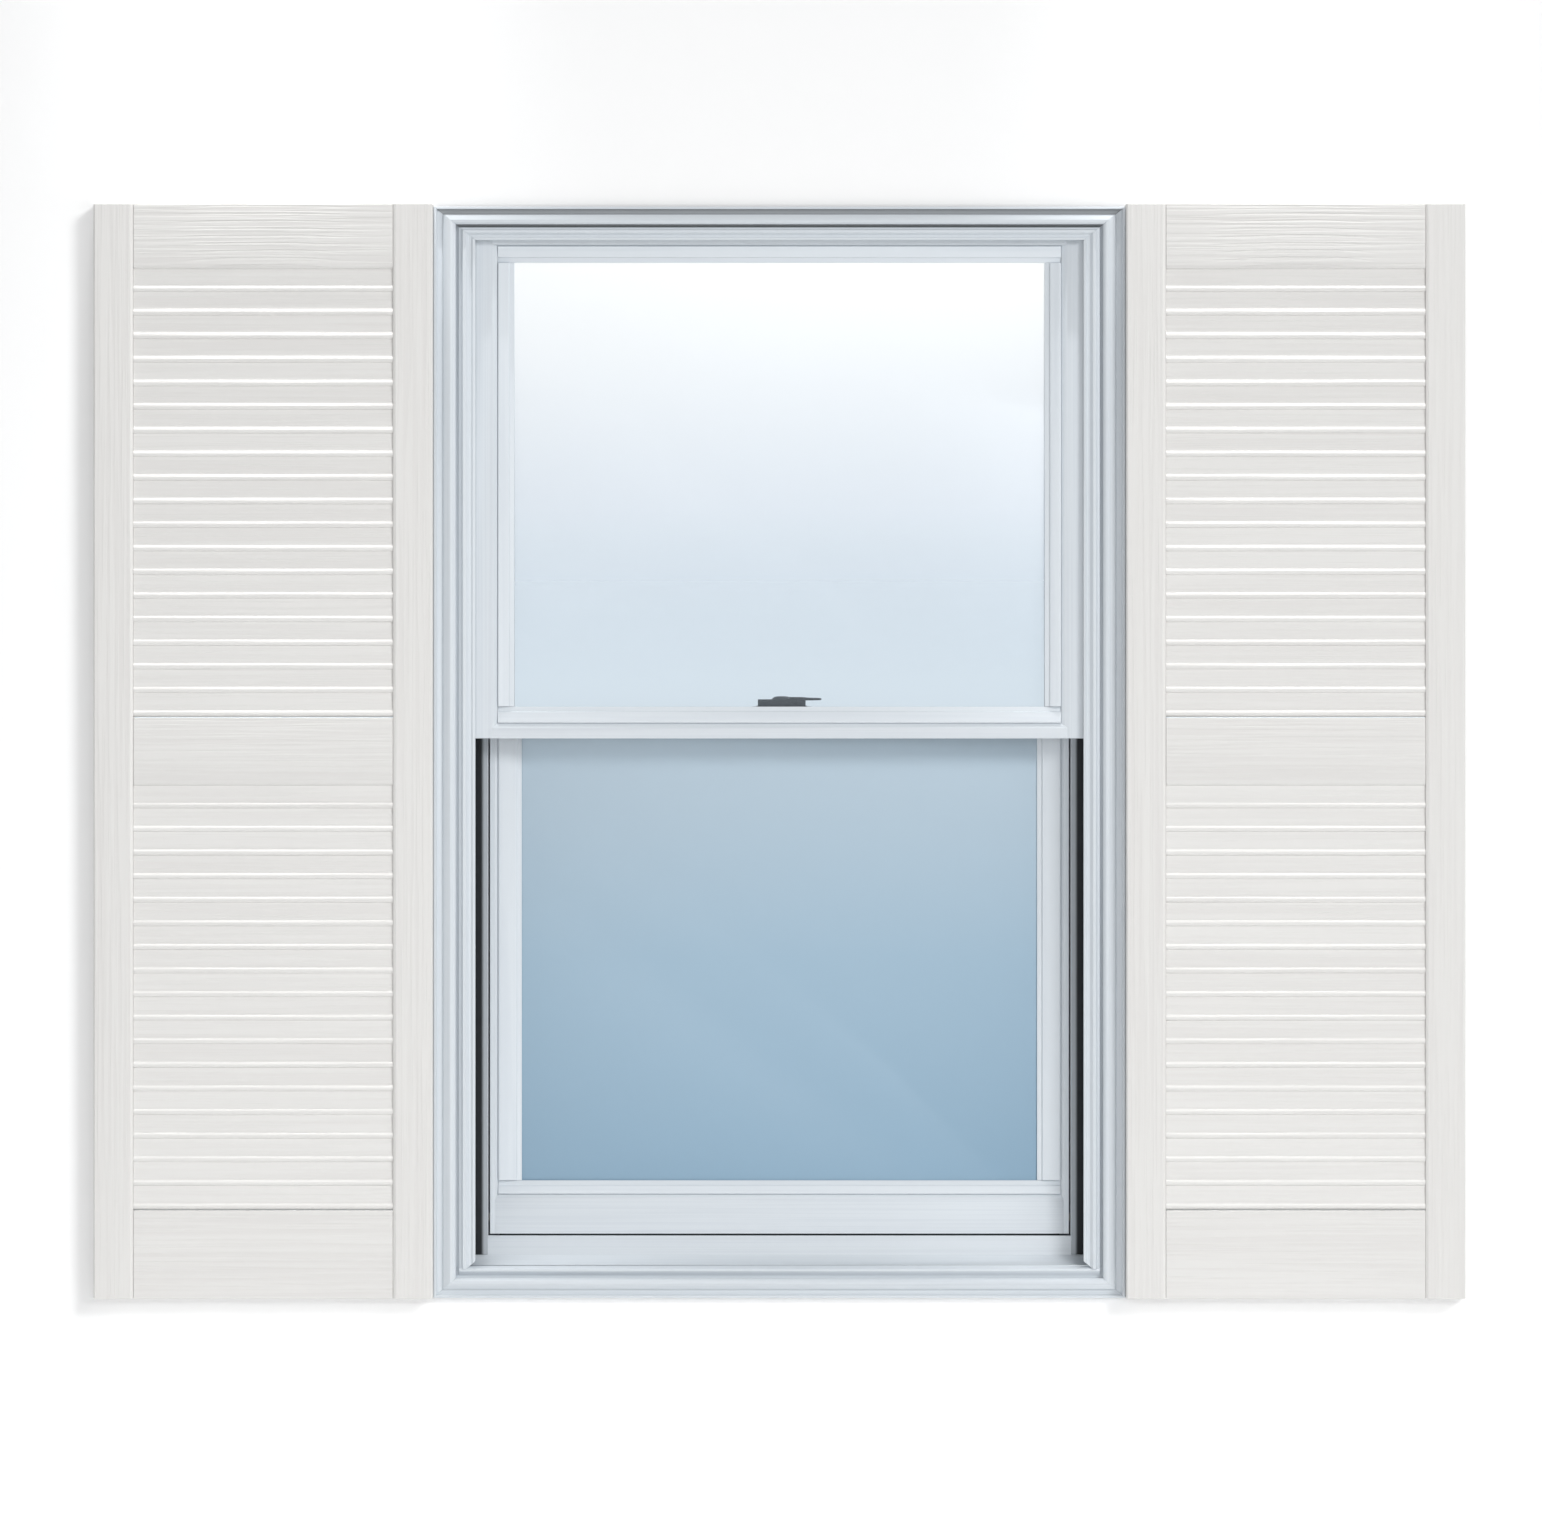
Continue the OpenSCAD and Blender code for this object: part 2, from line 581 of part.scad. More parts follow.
// Seal on the upper sash's back, against the lower sash
module upper_sash_weatherstrip() {
    color(rubber_dark) translate([-upper[0] + 30, keeper_y, upper[1] + 4])
        cube([2 * upper[0] - 60, lower[3] - keeper_y - 0.5, 6]);
}

module lower_sash_right_stile() { sash_stile(lower, lower_shoe_z, slot_y[1]); }
module lower_sash_left_stile() { mirror([1, 0, 0]) sash_stile(lower, lower_shoe_z, slot_y[1]); }
module lower_sash_meeting_rail() {
    difference() {
        sash_rail(lower, lower[2], -1, lower[5]);
        for (x = lock_screw_x) translate([x, lock_y, lower[2] - lock_screw_len])
            cylinder(r = screw_bore_r, h = lock_screw_len + eps);
    }
}
module lower_sash_bottom_rail() { sash_rail(lower, lower[1], 1, lower[6]); }
module lower_sash_glazing_beads() { glazing_beads(lower); }
module lower_sash_outer_pane() { pane(lower, pane_d); }
module lower_sash_inner_pane() { pane(lower, pane_d + pane_t + pane_space); }
module lower_sash_spacer() { spacer_bar(lower); }
module lower_sash_setting_blocks() { setting_blocks(lower); }

// Seal under the lower sash, which closes on the sill's ledge
module lower_sash_weatherstrip() {
    color(rubber_dark) translate([-lower[0] + 10, lower[3] + 8, sill_ledge_h + fit])
        cube([2 * lower[0] - 20, 8, lower[1] - sill_ledge_h - fit]);
}

// ---------------------------------------------------------------- balances

// Plan position of a balance's tube on the right-hand side: against its chamber's outer wall
function balance_pos(i) = [half_w - balance_u[i][0] - tube_r - fit,
                           (chamber_y[i][0] + chamber_y[i][1]) / 2];

module both_sides() { for (side = [0, 1]) mirror([side, 0, 0]) children(); }

module balance_tubes(i, z) {
    color(vinyl_white) both_sides() translate([balance_pos(i)[0], balance_pos(i)[1], z[0]])
        difference() {
            cylinder(r = tube_r, h = z[1] - z[0]);
            translate([0, 0, -eps]) cylinder(r = tube_bore_r, h = z[1] - z[0] + 2 * eps);
        }
}

module balance_rods(i, z0, z1) {
    color(steel) both_sides() translate([balance_pos(i)[0], balance_pos(i)[1], z0])
        cylinder(r = rod_r, h = z1 - z0);
}

// The shoe fills the chamber, and its arm reaches through the slot into the sash's stile
module balance_shoes(i, z, stile_x) {
    block_x = [half_w - balance_u[i][1] + chamber_fit, half_w - balance_u[i][0] - chamber_fit];
    block_y = [chamber_y[i][0] + chamber_fit, chamber_y[i][1] - chamber_fit];
    color(nylon) both_sides() difference() {
        translate([0, 0, z]) {
            translate([block_x[0], block_y[0], 0])
                cube([block_x[1] - block_x[0], block_y[1] - block_y[0], shoe_h]);
            translate([stile_x - wall_t - eps, slot_y[i][0] + chamber_fit, shoe_arm_z])
                cube([block_x[0] - stile_x + wall_t + 2 * eps, slot_w - 2 * chamber_fit,
                      shoe_arm_h]);
        }
        translate([balance_pos(i)[0], balance_pos(i)[1], z + shoe_h - rod_seat])
            cylinder(r = rod_r + post_fit, h = rod_seat + eps);
    }
}

module upper_balance_tubes() { balance_tubes(0, upper_tube_z); }
module upper_balance_rods() {
    balance_rods(0, upper_shoe_z + shoe_h - rod_seat + post_fit, upper_rod_top);
}
module upper_balance_shoes() { balance_shoes(0, upper_shoe_z, upper[0]); }
module lower_balance_tubes() { balance_tubes(1, lower_tube_z); }
module lower_balance_rods() {
    balance_rods(1, lower_shoe_z + shoe_h - rod_seat + post_fit, lower_rod_top);
}
module lower_balance_shoes() { balance_shoes(1, lower_shoe_z, lower[0]); }

// ---------------------------------------------------------------- lock

// Base plate with a tapered end, screwed to the lower sash's top rail
module lock_base() {
    pad_y = 8;
    color(lock_dark) difference() {
        union() {
            translate([0, lock_y, lock_z]) linear_extrude(lock_plate_t) polygon([
                [lock_x - 32, -4], [lock_x - 26, -pad_y], [lock_x + 30, -pad_y],
                [lock_x + 32, -5], [lock_x + 32, 5], [lock_x + 30, pad_y],
                [lock_x - 26, pad_y], [lock_x - 32, 4]]);
            translate([lock_x, lock_y, lock_z]) cylinder(r = lock_disc_r, h = lock_plate_t);
            translate([lock_x, lock_y, lock_z])
                cylinder(r = post_r, h = cap_z - lock_z + cap_t - 0.5);
        }
        for (x = lock_screw_x) translate([x, lock_y, lock_z - eps])
            cylinder(r = screw_bore_r, h = lock_plate_t + 2 * eps);
    }
}

// What the post takes away from the cam and the lever that turn on it
module post_bore() {
    translate([0, 0, cam_z - eps]) cylinder(r = post_r + post_fit, h = cam_t + cap_t + 2 * eps);
}

// Cam that swings in under the keeper's hook
module lock_cam() {
    color(lock_dark) translate([lock_x, lock_y, 0]) difference() {
        union() {
            translate([0, 0, cam_z]) cylinder(r = cam_r, h = cam_t);
            translate([-cam_nose_w / 2, 0, cam_z]) cube([cam_nose_w, cam_reach, cam_t]);
        }
        post_bore();
    }
}

// Round cap over the cam, with the lever on it
module lock_lever() {
    bar = lever_len - lever_end_r;
    color(lock_dark) translate([lock_x, lock_y, 0]) difference() {
        union() {
            translate([0, 0, cap_z]) cylinder(r = lock_cap_r, h = cap_t);
            translate([0, -lever_end_r, cap_z + 1]) cube([bar, 2 * lever_end_r, cap_t - 2]);
            translate([bar, 0, cap_z + 1]) cylinder(r = lever_end_r, h = cap_t - 2);
        }
        post_bore();
    }
}

module screw(len) {
    cylinder(r = screw_head_r, h = screw_head_t);
    translate([0, 0, -len]) cylinder(r = screw_r, h = len);
}

module lock_screws() {
    color(steel) for (x = lock_screw_x) translate([x, lock_y, lock_z + lock_plate_t])
        screw(lock_screw_len + lock_plate_t - 0.5);
}

// Keeper on the upper sash's back, with a hooked top that the cam turns in under
module keeper() {
    y1 = keeper_y + keeper_depth;
    color(lock_dark) difference() {
        union() {
            translate([-keeper_half + lock_x, keeper_y, keeper_z[0]])
                cube([2 * keeper_half, keeper_plate_t, keeper_z[1] - keeper_z[0]]);
            translate([-keeper_half + lock_x, keeper_y, keeper_z[1] - keeper_hook_t])
                cube([2 * keeper_half, keeper_depth, keeper_hook_t]);
        }
        for (x = [-1, 1]) translate([x * keeper_screw_x, y1, keeper_screw_z])
            rotate([90, 0, 0]) cylinder(r = screw_bore_r, h = keeper_depth + eps);
    }
}

module keeper_screws() {
    color(steel) for (x = [-1, 1])
        translate([x * keeper_screw_x, keeper_y + keeper_plate_t, keeper_screw_z])
            rotate([-90, 0, 0]) screw(keeper_screw_len + keeper_plate_t - 0.5);
}

// ---------------------------------------------------------------- the part

left_outer_stile();
left_inner_stile();
left_top_rail();
left_mid_rail();
left_bottom_rail();
left_upper_louvres();
left_lower_louvres();
right_outer_stile();
right_inner_stile();
right_top_rail();
right_mid_rail();
right_bottom_rail();
right_upper_louvres();
right_lower_louvres();
casing_top();
casing_bottom();
casing_left();
casing_right();
frame_head();
frame_sill();
frame_jamb_left();
frame_jamb_right();
track_liner_left();
track_liner_right();
upper_sash_left_stile();
upper_sash_right_stile();
upper_sash_top_rail();
upper_sash_meeting_rail();
upper_sash_glazing_beads();
upper_sash_outer_pane();
upper_sash_inner_pane();
upper_sash_spacer();
upper_sash_setting_blocks();
upper_sash_weatherstrip();
lower_sash_left_stile();
lower_sash_right_stile();
lower_sash_meeting_rail();
lower_sash_bottom_rail();
lower_sash_glazing_beads();
lower_sash_outer_pane();
lower_sash_inner_pane();
lower_sash_spacer();
lower_sash_setting_blocks();
lower_sash_weatherstrip();
upper_balance_tubes();
upper_balance_rods();
upper_balance_shoes();
lower_balance_tubes();
lower_balance_rods();
lower_balance_shoes();
lock_base();
lock_cam();
lock_lever();
lock_screws();
keeper();
keeper_screws();
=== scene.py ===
# %% [markdown]
# # Louvred shutters beside a sash window
# The packed model comes in first. Every later piece takes its place and its size from it, so nothing has
# to be fitted afterwards. The model's own box is kept.

# %% Load the frame
import json
import math

import bmesh
import bpy
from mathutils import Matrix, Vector


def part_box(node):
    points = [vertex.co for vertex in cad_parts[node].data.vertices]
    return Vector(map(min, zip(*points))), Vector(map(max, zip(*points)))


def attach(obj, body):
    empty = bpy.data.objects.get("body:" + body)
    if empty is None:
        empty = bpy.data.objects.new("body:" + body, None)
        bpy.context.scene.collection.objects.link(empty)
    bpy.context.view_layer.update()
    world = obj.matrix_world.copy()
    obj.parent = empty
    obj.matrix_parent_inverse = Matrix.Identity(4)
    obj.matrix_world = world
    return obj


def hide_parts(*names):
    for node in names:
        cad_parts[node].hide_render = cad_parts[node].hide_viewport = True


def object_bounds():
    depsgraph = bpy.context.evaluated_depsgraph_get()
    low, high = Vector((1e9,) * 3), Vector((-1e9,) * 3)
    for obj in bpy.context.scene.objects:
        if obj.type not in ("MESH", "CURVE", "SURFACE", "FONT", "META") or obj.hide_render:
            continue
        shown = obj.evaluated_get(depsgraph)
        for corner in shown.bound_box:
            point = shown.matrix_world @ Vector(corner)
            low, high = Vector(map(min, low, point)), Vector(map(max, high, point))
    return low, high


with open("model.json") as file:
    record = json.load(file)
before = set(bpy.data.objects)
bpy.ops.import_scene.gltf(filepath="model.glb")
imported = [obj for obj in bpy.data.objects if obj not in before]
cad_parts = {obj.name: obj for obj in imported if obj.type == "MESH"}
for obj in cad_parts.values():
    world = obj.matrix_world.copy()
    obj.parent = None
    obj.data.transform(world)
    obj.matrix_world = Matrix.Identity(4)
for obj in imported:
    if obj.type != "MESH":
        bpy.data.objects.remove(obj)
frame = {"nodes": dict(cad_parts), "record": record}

cad_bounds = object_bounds()
record = frame["record"]
body_of = {node: body for body, nodes in record["behaviour"]["bodies"].items() for node in nodes}
slot_of = {part["node"]: part["material_slot"] for part in record["subparts"]}
print(len(body_of), "nodes in a box of", [round(high - low, 4) for low, high in zip(*cad_bounds)])

# %% [markdown]
# ## Camera
# A picture of a facade piece is taken from far off with a long lens, square to the front. Lines stay
# upright, and the edges of the shutters hide their sides. The lens could be guessed as a focal length, but
# the width that the picture takes in is easier to judge, so the lens is worked out from that.

# %% Camera
PICTURE_WIDTH = 1.677
SENSOR_WIDTH = 36.0
CAMERA_PLACE = Vector((-0.0092, -12.0, 0.5878))

lens = bpy.data.cameras.new("camera")
lens.sensor_width = SENSOR_WIDTH
lens.lens = SENSOR_WIDTH * -CAMERA_PLACE.y / PICTURE_WIDTH
camera = bpy.data.objects.new("camera", lens)
camera.location = CAMERA_PLACE
camera.rotation_euler = (math.radians(90), 0, 0)
bpy.context.collection.objects.link(camera)
bpy.context.scene.camera = camera
print("lens", round(lens.lens, 1), "mm")

# %% [markdown]
# ## Shader maths
# A node tree grows long when every sum is a few lines of code. One small class wraps a socket and gives it
# the usual operators, so that a pattern reads as a formula. All other nodes come from one method, which
# takes a node's type, its settings, and the values or links of its inputs.

# %% Shader maths
class Value:
    """One output of a node, which can be added, multiplied and so on."""

    def __init__(self, finish, socket):
        self.finish, self.socket = finish, socket

    def math(self, operation, a, b=0.0):
        return self.finish.node("ShaderNodeMath", {"operation": operation}, {0: a, 1: b})

    def __add__(self, other): return self.math("ADD", self, other)
    def __radd__(self, other): return self.math("ADD", other, self)
    def __sub__(self, other): return self.math("SUBTRACT", self, other)
    def __rsub__(self, other): return self.math("SUBTRACT", other, self)
    def __mul__(self, other): return self.math("MULTIPLY", self, other)
    def __rmul__(self, other): return self.math("MULTIPLY", other, self)
    def __pow__(self, other): return self.math("POWER", self, other)
    def size(self): return self.math("ABSOLUTE", self)
    def sine(self): return self.math("SINE", self)


class Finish:
    """A material with its main shader, and the means to add nodes to it."""

    def __init__(self, name, **sockets):
        self.material = bpy.data.materials.new(name)
        self.material.use_nodes = True
        self.tree = self.material.node_tree
        self.main = self.tree.nodes["Principled BSDF"]
        self.wire(self.main, {key.replace("_", " "): value for key, value in sockets.items()})

    def wire(self, node, sockets):
        for key, value in sockets.items():
            if isinstance(value, Value):
                self.tree.links.new(value.socket, node.inputs[key])
            elif node.inputs[key].type == "RGBA":
                node.inputs[key].default_value = (*value, 1.0)
            else:
                node.inputs[key].default_value = value

    def node(self, kind, settings, sockets, output=0):
        node = self.tree.nodes.new(kind)
        for key, value in settings.items():
            if key == "stops":
                for _ in value[len(node.color_ramp.elements):]:
                    node.color_ramp.elements.new(1.0)
                for stop, (place, colour) in zip(node.color_ramp.elements, value):
                    stop.position, stop.color = place, (*colour, 1.0)
            else:
                setattr(node, key, value)
        self.wire(node, sockets)
        return Value(self, node.outputs[output])

    def whole_place(self):
        """Object coordinates in metres, which on these pieces are those of the whole part."""
        return self.node("ShaderNodeTexCoord", {}, {}, "Object")

    def place(self):
        """The same coordinates as x, y and z."""
        whole = self.whole_place()
        return [self.node("ShaderNodeSeparateXYZ", {}, {0: whole}, axis) for axis in range(3)]

    def noise(self, scale, detail=3.0):
        """Noise with its own scale along each axis, in waves per metre."""
        spread = self.node("ShaderNodeMapping", {}, {"Vector": self.whole_place(), "Scale": scale})
        return self.node("ShaderNodeTexNoise", {}, {"Vector": spread, "Scale": 1.0, "Detail": detail})

    def step(self, value, low, high, smooth="SMOOTHSTEP"):
        """0 below low, 1 above high, and a smooth rise between them."""
        return self.node("ShaderNodeMapRange", {"interpolation_type": smooth}, {
            "Value": value, "From Min": low, "From Max": high})

    def blend(self, amount, first, second):
        return self.node("ShaderNodeMix", {"data_type": "RGBA"}, {0: amount, 6: first, 7: second}, 2)

    def bump(self, height, distance):
        normal = self.node("ShaderNodeBump", {}, {"Height": height, "Distance": distance})
        self.wire(self.main, {"Normal": normal})


print("operators:", [name for name in vars(Value) if name.endswith(("add__", "sub__", "mul__", "pow__"))])

# %% [markdown]
# ## Shutter finish
# Such shutters are moulded in one warm white that runs right through, with a wood grain pressed into the
# face. The grain runs along each piece, so stiles and rails need it turned. It could be cut into the mesh,
# but lines a few tenths of a millimetre deep are cheaper as bump: noise drawn out along the piece gives the
# fibres, and on the top rails nested arches stand for the figure of a flat-sawn board. The louvres are
# painted a shade lighter than the rest: painted light that makes up for the shade their faces throw on one
# another.

# %% Shutter finish
SHUTTER_WHITE = (0.795, 0.785, 0.766)
SHUTTER_SHADE = (0.762, 0.748, 0.730)
# Painted light: the louvres' white is raised to make up for the shade their faces throw on one another
LOUVRE_PAINTED_LIGHT = 1.04
ACROSS_GRAIN, ALONG_GRAIN = 260, 5
CLOUD_SHARE = 0.12
GRAIN_DEPTH, FIGURE_DEPTH = 0.00022, 0.00028
UPRIGHT = ACROSS_GRAIN, ACROSS_GRAIN, ALONG_GRAIN
LEVEL = ALONG_GRAIN, ACROSS_GRAIN, ACROSS_GRAIN


def grained(name, fibre, depth=GRAIN_DEPTH, bright=1.0, figure=None):
    """A grained finish. Fibre says how many fibres fit in a metre along each axis."""
    finish = Finish(name, Roughness=0.55, Specular_IOR_Level=0.3)
    fibres = finish.noise(fibre, detail=4.0)
    clouds = finish.noise([scale * CLOUD_SHARE for scale in fibre], detail=2.0)
    colours = [[part * bright for part in colour] for colour in (SHUTTER_SHADE, SHUTTER_WHITE)]
    colour = finish.blend(finish.step(fibres * 0.5 + clouds * 0.5, 0.35, 0.62), *colours)
    finish.wire(finish.main, {"Base Color": colour, "Roughness": 0.5 + 0.12 * fibres})
    relief = finish.step(fibres, 0.38, 0.6)
    finish.bump(relief + figure(finish) if figure else relief, depth)
    return finish.material


def arches(finish):
    """Nested arches about the middle of each rail, fading towards its ends."""
    x, _, z = finish.place()
    across = x.size() - RAIL_MIDDLE
    along = z + ARCH_WAVER * finish.noise((9, 9, 30))
    radius = ((across * ARCH_FLATNESS) ** 2.0 + (along - ARCH_FOOT) ** 2.0) ** 0.5
    fade = 1.0 - finish.step(across.size(), *ARCH_FADE)
    return fade * finish.step((radius * ARCH_RATE).sine(), 0.55, 0.95) * -ARCH_CUT


field_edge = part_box("right_inner_stile")[1].x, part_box("right_outer_stile")[0].x
RAIL_MIDDLE = sum(field_edge) / 2
ARCH_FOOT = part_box("left_top_rail")[0].z - 0.012
ARCH_FLATNESS = 0.16
ARCH_RATE = 780.0
ARCH_WAVER = 0.0035
ARCH_FADE = 0.045, 0.1
ARCH_CUT = 1.2
upright_grain = grained("shutter_grain_upright", UPRIGHT)
level_grain = grained("shutter_grain_level", LEVEL)
# The louvres' finish, with painted light that lifts its white
louvre_grain_painted_light = grained("shutter_grain_louvres", LEVEL, bright=LOUVRE_PAINTED_LIGHT)
figured_grain = grained("shutter_grain_figured", LEVEL, FIGURE_DEPTH, figure=arches)
print("rail middle at", round(RAIL_MIDDLE, 4), "m")

# %% [markdown]
# ## From outline to piece
# Moulded and extruded pieces are one outline drawn along a line. The outline is a list of points, and the
# ends may be cut square or mitred, so the helper takes a function that says where each point lies at
# each end. The bevel modifier then rounds all the sharp edges a little. No moulded edge is truly sharp, and
# the thin lines of light along them tell the eye how big the piece is.

# %% From outline to piece
MERGE = 1e-6
SOFT_ABOVE = 28


def mesh_object(name, build):
    """An object whose mesh the function build makes in a bmesh."""
    mesh = bpy.data.meshes.new(name)
    shape = bmesh.new()
    build(shape)
    bmesh.ops.remove_doubles(shape, verts=shape.verts, dist=MERGE)
    bmesh.ops.recalc_face_normals(shape, faces=shape.faces)
    shape.to_mesh(mesh)
    shape.free()
    mesh.shade_smooth()
    piece = bpy.data.objects.new(name, mesh)
    bpy.context.collection.objects.link(piece)
    return piece


def drawn_along(name, outline, place_start, place_end):
    """An outline drawn from where one function puts its points to where the other does."""
    def build(shape):
        ends = [[shape.verts.new(place(point)) for point in outline] for place in (place_start, place_end)]
        for i in range(len(outline)):
            j = (i + 1) % len(outline)
            shape.faces.new([ends[0][i], ends[0][j], ends[1][j], ends[1][i]])
        for end in ends:
            shape.faces.new(end)
    return mesh_object(name, build)


def arc(centre, radius, start, end, steps):
    """Points of a round stretch of an outline, with its angles in degrees."""
    angles = [math.radians(start + (end - start) * i / steps) for i in range(steps + 1)]
    return [(centre[0] + radius * math.cos(a), centre[1] + radius * math.sin(a)) for a in angles]


def soften(piece, width, segments=2):
    """Rounds the sharp edges of a piece."""
    bevel = piece.modifiers.new("soft_edges", "BEVEL")
    bevel.width, bevel.segments = width, segments
    bevel.limit_method, bevel.angle_limit = "ANGLE", math.radians(SOFT_ABOVE)
    bevel.harden_normals = True
    return piece


def stands_for(piece, material, *nodes):
    """Gives a piece its finish, hangs it on its body and hides the nodes it stands for."""
    piece.data.materials.clear()
    piece.data.materials.append(material)
    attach(piece, body_of[nodes[0]])
    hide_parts(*nodes)
    return piece


print("a quarter round in", len(arc((0, 0), 1, 180, 270, 6)), "points")

# %% [markdown]
# ## Shutter stiles and rails
# Two stiles stand at the sides and three rails lie between them. A stile's outline has a bevel towards the
# louvres, which makes the fine line down each side, and a smaller one outside. The two upper rails end
# below like a louvre, with a round nose and a slope that rises behind it, so that the louvres seem to start
# under the rail.

# %% Shutter stiles and rails
STILE_BEVEL = 0.003, 0.002
EDGE_BEVEL = 0.0015
NOSE_R = 0.004
NOSE_BACK = 0.002
LOUVRE_ANGLE = 75
LOUVRE_BACK = -0.014
RAIL_JOINT = 0.0002
EASED = 0.0007


def stile(node, inwards):
    """A stile whose bevel towards the louvres is on the side that inwards says, 1 for +X."""
    low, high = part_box(node)
    inner, outer = (high.x, low.x) if inwards > 0 else (low.x, high.x)
    outline = [
        (inner, high.y), (outer, high.y), (outer, low.y + EDGE_BEVEL),
        (outer + inwards * EDGE_BEVEL, low.y), (inner - inwards * STILE_BEVEL[0], low.y),
        (inner, low.y + STILE_BEVEL[1])]
    piece = drawn_along(node + "_moulded", outline, lambda p: (*p, low.z), lambda p: (*p, high.z))
    return stands_for(soften(piece, EASED), upright_grain, node)


def rail(node, left, right, nosed, material):
    """A rail between two stiles, with the louvres' nose along its lower edge if it's nosed."""
    low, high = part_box(node)
    outline = [(high.y, high.z), (low.y, high.z)]
    if nosed:
        back_of_nose = low.y + NOSE_R + NOSE_BACK
        outline += arc((low.y + NOSE_R, low.z + NOSE_R), NOSE_R, 180, 270, 8)
        rise = (LOUVRE_BACK - back_of_nose) * math.tan(math.radians(LOUVRE_ANGLE))
        outline += [(back_of_nose, low.z), (LOUVRE_BACK, low.z + rise), (high.y, low.z + rise)]
    else:
        outline += [(low.y, low.z), (high.y, low.z)]
    piece = drawn_along(node + "_moulded", outline, lambda p: (left, *p), lambda p: (right, *p))
    return stands_for(soften(piece, EASED), material, node)


fields = {}
for side, outwards in (("left", -1), ("right", 1)):
    stile(side + "_outer_stile", -outwards)
    stile(side + "_inner_stile", outwards)
    near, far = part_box(side + "_inner_stile"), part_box(side + "_outer_stile")
    left, right = (far[1].x, near[0].x) if side == "left" else (near[1].x, far[0].x)
    fields[side] = left + RAIL_JOINT, right - RAIL_JOINT
    rail(side + "_top_rail", *fields[side], True, figured_grain)
    rail(side + "_mid_rail", *fields[side], True, level_grain)
    rail(side + "_bottom_rail", *fields[side], False, level_grain)
print("louvre fields:", {side: [round(x, 4) for x in ends] for side, ends in fields.items()})

# %% [markdown]
# ## Louvres
# A bank of louvres is one louvre repeated at an even pitch, which is just what Geometry Nodes do well. An
# Array modifier could repeat it too, but the node tree can also tilt each louvre by a hair, as moulded ones
# are never quite alike, and their lines of light then differ a little. The tree copies whatever mesh it
# is put on, so the same tree sets out the screws further down.

# %% A tree that repeats a piece
def row_tree():
    tree = bpy.data.node_groups.new("row", "GeometryNodeTree")
    face = tree.interface
    face.new_socket("Geometry", in_out="INPUT", socket_type="NodeSocketGeometry")
    for title, kind, value in (
            ("Count", "NodeSocketInt", 2), ("Pitch", "NodeSocketVector", (0, 0, 0.01)),
            ("Turned About", "NodeSocketVector", (0, 0, 0)), ("Tilt", "NodeSocketVector", (0, 0, 0)),
            ("Seed", "NodeSocketInt", 1), ("Material", "NodeSocketMaterial", None)):
        socket = face.new_socket(title, in_out="INPUT", socket_type=kind)
        if value is not None:
            socket.default_value = value
    face.new_socket("Geometry", in_out="OUTPUT", socket_type="NodeSocketGeometry")

    def node(kind, settings=(), links=()):
        made = tree.nodes.new(kind)
        for key, value in dict(settings).items():
            setattr(made, key, value)
        for key, value in dict(links).items():
            if isinstance(value, bpy.types.NodeSocket):
                tree.links.new(value, made.inputs[key])
            else:
                made.inputs[key].default_value = value
        return made

    given = node("NodeGroupInput").outputs
    line = node("GeometryNodeMeshLine", {}, {"Count": given["Count"], "Offset": given["Pitch"]})
    at = node("GeometryNodeSetPosition", {}, {
        "Geometry": line.outputs[0], "Offset": given["Turned About"]})
    minus = node("ShaderNodeVectorMath", {"operation": "SCALE"}, {0: given["Turned About"], "Scale": -1.0})
    centred = node("GeometryNodeTransform", {}, {
        "Geometry": given["Geometry"], "Translation": minus.outputs[0]})
    least = node("ShaderNodeVectorMath", {"operation": "SCALE"}, {0: given["Tilt"], "Scale": -1.0})
    chance = node("FunctionNodeRandomValue", {"data_type": "FLOAT_VECTOR"}, {
        "Min": least.outputs[0], "Max": given["Tilt"], "Seed": given["Seed"]})
    copies = node("GeometryNodeInstanceOnPoints", {}, {
        "Points": at.outputs[0], "Instance": centred.outputs[0], "Rotation": chance.outputs[0]})
    whole = node("GeometryNodeRealizeInstances", {}, {0: copies.outputs[0]})
    dressed = node("GeometryNodeSetMaterial", {}, {0: whole.outputs[0], "Material": given["Material"]})
    tree.links.new(dressed.outputs[0], node("NodeGroupOutput").inputs[0])
    return tree


ROW = row_tree()
SMOOTH_BELOW = 40


def repeated(piece, **inputs):
    """Runs the row tree on a piece and keeps the result as its plain mesh."""
    modifier = piece.modifiers.new("row", "NODES")
    modifier.node_group = ROW
    for socket in ROW.interface.items_tree:
        key = socket.name.replace(" ", "_").lower()
        if socket.in_out == "INPUT" and key in inputs:
            modifier[socket.identifier] = inputs[key]
    ready = piece.evaluated_get(bpy.context.evaluated_depsgraph_get())
    mesh = bpy.data.meshes.new_from_object(ready)
    piece.modifiers.clear()
    piece.data = mesh
    mesh.shade_smooth()
    mesh.set_sharp_from_angle(angle=math.radians(SMOOTH_BELOW))
    return piece


print("the row tree has", len(ROW.nodes), "nodes")

# %% [markdown]
# ## One louvre and its bank
# A louvre is a slat with a round nose, and it stands nearly upright. Its outline goes round the nose, up
# the back, round the back edge and down the face, which is filled out almost to the nose above, so that
# only a shallow step shows under each nose. A slat and a bar for its nose would do too, but one outline
# joins them smoothly. Edges sharper than a limit stay sharp, so that the shading of the long faces is even.

# %% Louvres
LOUVRE_T = 0.004
PITCH = 0.0256
TILT = 0.3
NOSE_STEPS, BACK_STEPS = 24, 6
SEED_STEP = 10
